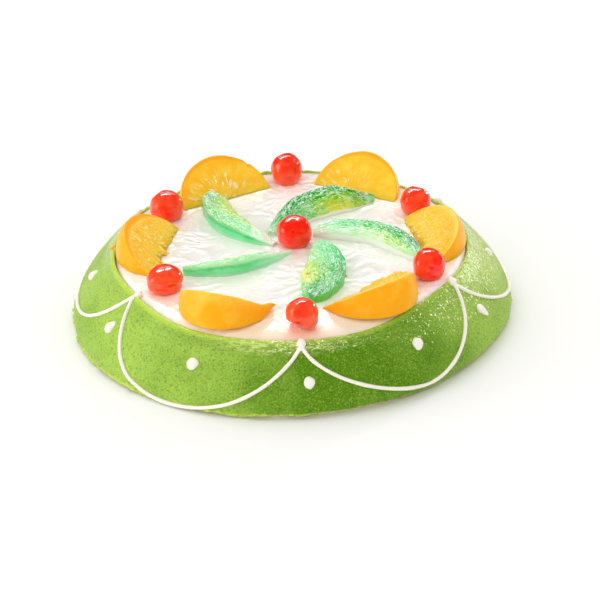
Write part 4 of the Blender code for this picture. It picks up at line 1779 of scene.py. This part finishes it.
@dataclass(frozen=True)
class Softbox:
    """A soft lamp: the way to it from the cake, how far, its size, its power and its colour.

    One that only gives gloss stands for a bright strip of wall, which shows in wet surfaces. One that
    only lights matt surfaces fills in their shade.
    """

    name: str
    way: tuple[float, float, float]
    far: float
    width: float
    height: float
    power: float
    colour: Colour = (1.0, 1.0, 1.0)
    gloss_only: bool = False
    matt_only: bool = False

    def build(self) -> None:
        """Hang the lamp and aim it at the cake."""
        data = bpy.data.lights.new(self.name, "AREA")
        data.shape, data.size, data.size_y = "RECTANGLE", self.width, self.height
        data.energy, data.color = self.power, self.colour
        lamp = placed(self.name, data)
        lamp.location = Vector(self.way).normalized() * self.far + Vector((0.0, 0.0, 0.03))
        lamp.rotation_mode = "QUATERNION"
        lamp.rotation_quaternion = (-Vector(self.way)).to_track_quat("-Z", "Y")
        lamp.visible_camera = False
        lamp.visible_diffuse = not self.gloss_only
        lamp.visible_glossy = not self.matt_only


@dataclass
class Studio:
    """A white table in a bright room, with the room brightest behind and to the left of the cake."""

    floor_size: float = 60.0
    room_way: tuple[float, float, float] = (-0.50, 0.66, 0.56)
    room_span: tuple[float, float] = (-0.55, 0.75)
    room_low: float = 0.84
    room_high: float = 1.10
    room_warm: Colour = (1.0, 0.97, 0.93)
    room_cool: Colour = (1.0, 0.99, 0.97)
    lens: float = 136.11
    eye: tuple[float, float, float] = (4.6452, -1194.2952, 643.9833)
    right: tuple[float, float, float] = (0.99941888, -0.0160728, -0.03005927)
    up: tuple[float, float, float] = (0.03408658, 0.47125465, 0.88133828)
    lamps: tuple[Softbox, ...] = (
        Softbox("lamp_above", (-0.12, 0.60, 0.80), 1.3, 1.1, 0.14, 17.0, (1.0, 0.985, 0.96), True),
        Softbox("lamp_front", (-0.35, -0.80, 0.40), 1.6, 1.4, 1.0, 3.8, (1.0, 0.99, 0.97), False, True),
        Softbox("lamp_behind", (0.0, 0.80, 0.60), 1.5, 1.5, 0.20, 4.0, (1.0, 0.985, 0.96), True),
        Softbox("lamp_left", (-0.95, -0.14, 0.28), 1.1, 0.50, 0.60, 2.7, (1.0, 0.98, 0.95)),
        Softbox("lamp_back_right", (0.72, 0.64, 0.24), 1.3, 0.09, 0.18, 2.6, (1.0, 0.99, 0.97)),
    )

    def build(self) -> None:
        """Lay the floor, light the room and set up the camera."""
        self.lay_floor()
        self.light_room()
        for lamp in self.lamps:
            lamp.build()
        self.stand_camera()
        view = bpy.context.scene.view_settings
        view.view_transform, view.look = "Standard", "None"

    def lay_floor(self) -> None:
        """Lay a large level floor under the cake."""
        bm = bmesh.new()
        bmesh.ops.create_circle(bm, cap_ends=True, segments=96, radius=self.floor_size / 2.0)
        floor = filled("floor", bm, FloorFinish().material())

    def light_room(self) -> None:
        """Light the room from all round, most from behind and from the left."""
        world = bpy.data.worlds.new("room")
        bpy.context.scene.world = world
        world.use_nodes = True
        world.cycles_visibility.glossy = False
        room = Nodes(world.node_tree)
        way = room.add("ShaderNodeTexCoord", {}).outputs["Generated"]
        towards = Vector(self.room_way).normalized()
        facing = room.add("ShaderNodeVectorMath", {0: way, 1: towards}, operation="DOT_PRODUCT").outputs["Value"]
        share = room.between(facing, *self.room_span, self.room_low, self.room_high)
        background = room.tree.nodes["Background"]
        room.feed(background.inputs["Strength"], share)
        room.feed(background.inputs["Color"], room.blend(share, self.room_warm, self.room_cool))

    def stand_camera(self) -> None:
        """Stand the camera in front of the cake, above it and a little tilted."""
        data = bpy.data.cameras.new("camera")
        data.lens, data.sensor_width, data.sensor_fit = self.lens, 36.0, "HORIZONTAL"
        data.clip_start, data.clip_end = 0.05, 100.0
        camera = placed("camera", data)
        right, up = Vector(self.right).normalized(), Vector(self.up).normalized()
        back = right.cross(up).normalized()
        turned = Matrix((right, up, back)).transposed().to_4x4()
        camera.matrix_world = Matrix.Translation(Vector(self.eye) * MM) @ turned
        bpy.context.scene.camera = camera


# ---------------------------------------------------------------------------------------------
# What lies on the cake
# ---------------------------------------------------------------------------------------------

CHERRIES = (
    Cherry("centre", 2.9, 1.3, 10.4, 9.7, 0, (
        Hollow((-0.06, -0.90, 0.42), 0.09, 0.10),
        Hollow((-0.1, -0.3, 0.95), 0.30, 0.03, (0.5, 1.0, 1.0)),
    ), 0.0),
    Cherry("front", 5.6, -97.6, 9.3, 8.9, 1, (
        Hollow((-0.30, -0.93, -0.16), 0.17, 0.13, (0.8, 1.0, 1.4)),
        Hollow((-0.05, -0.96, -0.25), 0.12, 0.05, (1.0, 1.0, 0.6)),
    ), 0.55, (((-0.44, -0.42, -0.79), 0.70),)),
    Cherry("front_right", 78.9, -46.3, 9.2, 9.4, 2, (
        Hollow((0.10, -0.93, 0.30), 0.15, 0.05),
    ), 0.15),
    Cherry("back_right", 76.4, 38.6, 9.3, 8.8, 3, (
        Hollow((0.3, 0.5, 0.8), 0.28, 0.09),
    ), 0.45),
    Cherry("back", -0.8, 88.3, 9.8, 9.9, 4, (
        Hollow((0.12, -0.55, 0.82), 0.20, 0.05),
        Hollow((0.60, -0.25, 0.76), 0.40, 0.07),
    ), 0.35),
    Cherry("back_left", -73.9, 42.2, 10.2, 9.4, 5, (
        Hollow((-0.6, 0.4, 0.7), 0.30, 0.09),
    ), 0.5),
    Cherry("front_left", -71.6, -51.2, 10.5, 7.9, 6, (
        Hollow((0.42, -0.90, 0.05), 0.20, 0.09, (0.5, 1.0, 2.6)),
        Hollow((-0.20, -0.93, -0.22), 0.20, 0.05, (0.6, 1.0, 2.6)),
        Hollow((0.0, -0.75, 0.65), 0.30, 0.025, (0.5, 1.0, 3.0)),
    ), 0.5),
)

WEDGES = (
    OrangeWedge("orange_back_left", -37.4, 64.8, 42.6, 28.3, 29.5, 29.8, 0.0, 44.0, 0,
                pulp=1.0, pulp_middle=-0.15, pulp_reach=0.55, nick=0.72),
    OrangeWedge("orange_back_right", 39.8, 67.6, 42.6, -31.9, 28.3, 28.6, 0.0, 42.0, 1,
                pulp=0.5, pulp_middle=-0.4, pulp_reach=0.45, sheen=0.6),
    OrangeWedge("orange_right", 75.4, -1.6, 42.6, 102.0, 31.8, 27.8, 0.0, 34.0, 2,
                torn=2.6, pulp=0.9, pulp_reach=1.1, grainy=1.0, sheen=-0.4),
    OrangeWedge("orange_front_right", 41.8, -62.4, 42.4, 35.0, 30.2, 32.4, -1.5, 34.0, 3,
                torn=1.5, pulp=0.8, pulp_middle=0.4, pulp_reach=1.0, grainy=1.0, heap=6.0, sheen=0.25, taper=0.62),
    OrangeWedge("orange_front_left", -34.6, -69.6, 42.5, -23.0, 28.3, 30.6, -2.0, 37.6, 4,
                pulp=0.4, curl=3.6, sheen=0.85, taper=0.60),
    OrangeWedge("orange_left", -73.5, -4.3, 42.6, 77.3, 31.4, 28.9, 0.0, 39.6, 5,
                torn=3.0, pulp=1.0, pulp_reach=1.1, grainy=1.0, sheen=-0.1, rind_from=0.9),
)

LEAVES = (
    CitronLeaf("citron_left_back", (-9.0, 0.0), (-46.0, 58.6), 10.0, 8.2, 0.66, 0.42, 6.0, 3.2, 9.0, 8.6, 0.14, 0,
               Dye.PALE, (
                   Dab(0.30, 0.30, 0.25, 0.90, Dye.MINT, 0.60),
                   Dab(0.66, 0.75, 0.36, 0.50, Dye.LEAF, 0.75),
                   Dab(0.92, 0.20, 0.14, 0.90, Dye.EMERALD, 0.60),
                   Dab(0.66, -0.60, 0.34, 0.65, Dye.LIME, 0.80),
                   Dab(0.30, -0.95, 0.30, 0.45, Dye.STRAW, 0.50),
                   Dab(0.05, 0.00, 0.18, 2.00, Dye.WATER, 0.60),
               ), Dye.MINT, Dye.EMERALD, 1.0, 0.8, 0.13, seam=0.2),
    CitronLeaf("citron_back", (-10.9, 13.4), (52.4, 56.2), 9.8, 11.0, 0.60, 0.42, 1.8, 4.2, 11.8, 3.6, 0.22, 1,
               Dye.LEAF, (
                   Dab(0.05, 0.00, 0.30, 2.00, Dye.EMERALD, 0.80),
                   Dab(0.50, 0.95, 0.60, 0.80, Dye.EMERALD, 1.00),
                   Dab(0.64, -0.70, 0.26, 0.42, Dye.LIME, 1.00),
                   Dab(0.66, -1.00, 0.26, 0.34, Dye.STRAW, 0.95),
                   Dab(0.92, 0.10, 0.09, 0.60, Dye.BROWN, 0.80),
                   Dab(1.00, -0.50, 0.09, 0.80, Dye.PALE, 0.75),
                   Dab(0.22, -0.90, 0.20, 0.70, Dye.PALE, 0.60),
               ), Dye.WATER, Dye.STRAW, 1.0, 1.6, 0.62),
    CitronLeaf("citron_right", (14.2, 14.2), (74.6, -26.5), 13.0, 9.4, 0.48, 0.78, 2.3, 6.6, 8.2, 6.0, 0.0, 2,
               Dye.PALE, (
                   Dab(0.46, 0.40, 0.52, 0.90, Dye.MINT, 0.95),
                   Dab(0.85, 0.80, 0.36, 0.90, Dye.EMERALD, 0.95),
                   Dab(0.62, -0.10, 0.22, 0.40, Dye.LEAF, 0.75),
                   Dab(0.70, -0.75, 0.24, 0.36, Dye.LIME, 0.60),
                   Dab(0.40, -1.00, 0.35, 0.45, Dye.WATER, 0.50),
               ), Dye.WATER, Dye.WATER, 1.0, 1.4, 0.35),
    CitronLeaf("citron_front", (17.0, 1.5), (10.4, -74.4), 6.8, 12.0, 0.64, 0.24, 1.7, 5.0, 7.2, 6.0, -0.06, 3,
               Dye.MINT, (
                   Dab(0.30, -0.75, 0.45, 0.70, Dye.PALE, 0.70),
                   Dab(0.66, 0.85, 0.30, 0.50, Dye.EMERALD, 0.90),
                   Dab(0.80, 0.10, 0.26, 0.60, Dye.LEAF, 1.00),
                   Dab(0.72, -0.45, 0.22, 0.40, Dye.LIME, 0.85),
                   Dab(0.74, -0.95, 0.26, 0.40, Dye.STRAW, 0.80),
                   Dab(0.98, 0.20, 0.10, 1.00, Dye.EMERALD, 0.90),
               ), Dye.LEAF, Dye.LEAF, 0.85, 0.8, 0.14),
    CitronLeaf("citron_left", (0.2, -11.0), (-62.4, -33.4), 9.0, 4.5, 0.56, 0.16, 1.15, 3.6, 9.0, 5.4, 0.12, 4,
               Dye.PALE, (
                   Dab(0.62, -0.70, 0.24, 0.70, Dye.STRAW, 0.80),
                   Dab(0.50, 0.60, 0.30, 0.40, Dye.MINT, 0.60),
                   Dab(0.95, 0.00, 0.12, 1.50, Dye.MINT, 0.70),
                   Dab(0.10, 0.00, 0.20, 2.00, Dye.WATER, 0.85),
               ), Dye.MINT, Dye.MINT, 0.9, 0.8, 0.14, seam=0.35, faded=0.5),
)

ORANGE_CRUMBS = Crumbs("orange_crumbs", Slot.ORANGE, (
    (9.6, -51.3, 49.7, 0.9),
    (31.4, -42.4, 42.6, 0.75),
    (-105.0, 4.2, 42.1, 1.3),
    (-104.2, 6.6, 42.3, 0.8),
    (68.8, 74.8, 42.2, 1.0),
))


def main() -> None:
    """Build the cake, dress it with its fruit, and light it."""
    logging.basicConfig(level=logging.INFO, format="%(message)s")
    form = CakeForm()
    MarzipanShell(form).build(MarzipanFinish().material())
    SpongeBase(form).build(SpongeFinish().material())
    # how far the icing is from each fruit, for the coloured light painted round it and for its wetting
    fruit = {
        "cherry_glow": [cherry.far for cherry in CHERRIES],
        "amber": [wedge.far for wedge in WEDGES],
        "citron_glow": [leaf.far for leaf in LEAVES],
    }
    IcingPool(form).build(IcingFinish().material(), fruit)
    Piping(Wall(form)).build(PipingFinish().material())
    red, orange, green = CherryFinish().material(), OrangeFinish().material(), CitronFinish().material()
    for cherry in CHERRIES:
        cherry.build(red)
    for wedge in WEDGES:
        wedge.build(orange)
    for leaf in LEAVES:
        leaf.build(green)
    ORANGE_CRUMBS.build(CrumbFinish("orange_crumb", (0.93, 0.40, 0.02), (0.96, 0.58, 0.06)).material())
    Studio().build()


if __name__ == "__main__":
    main()
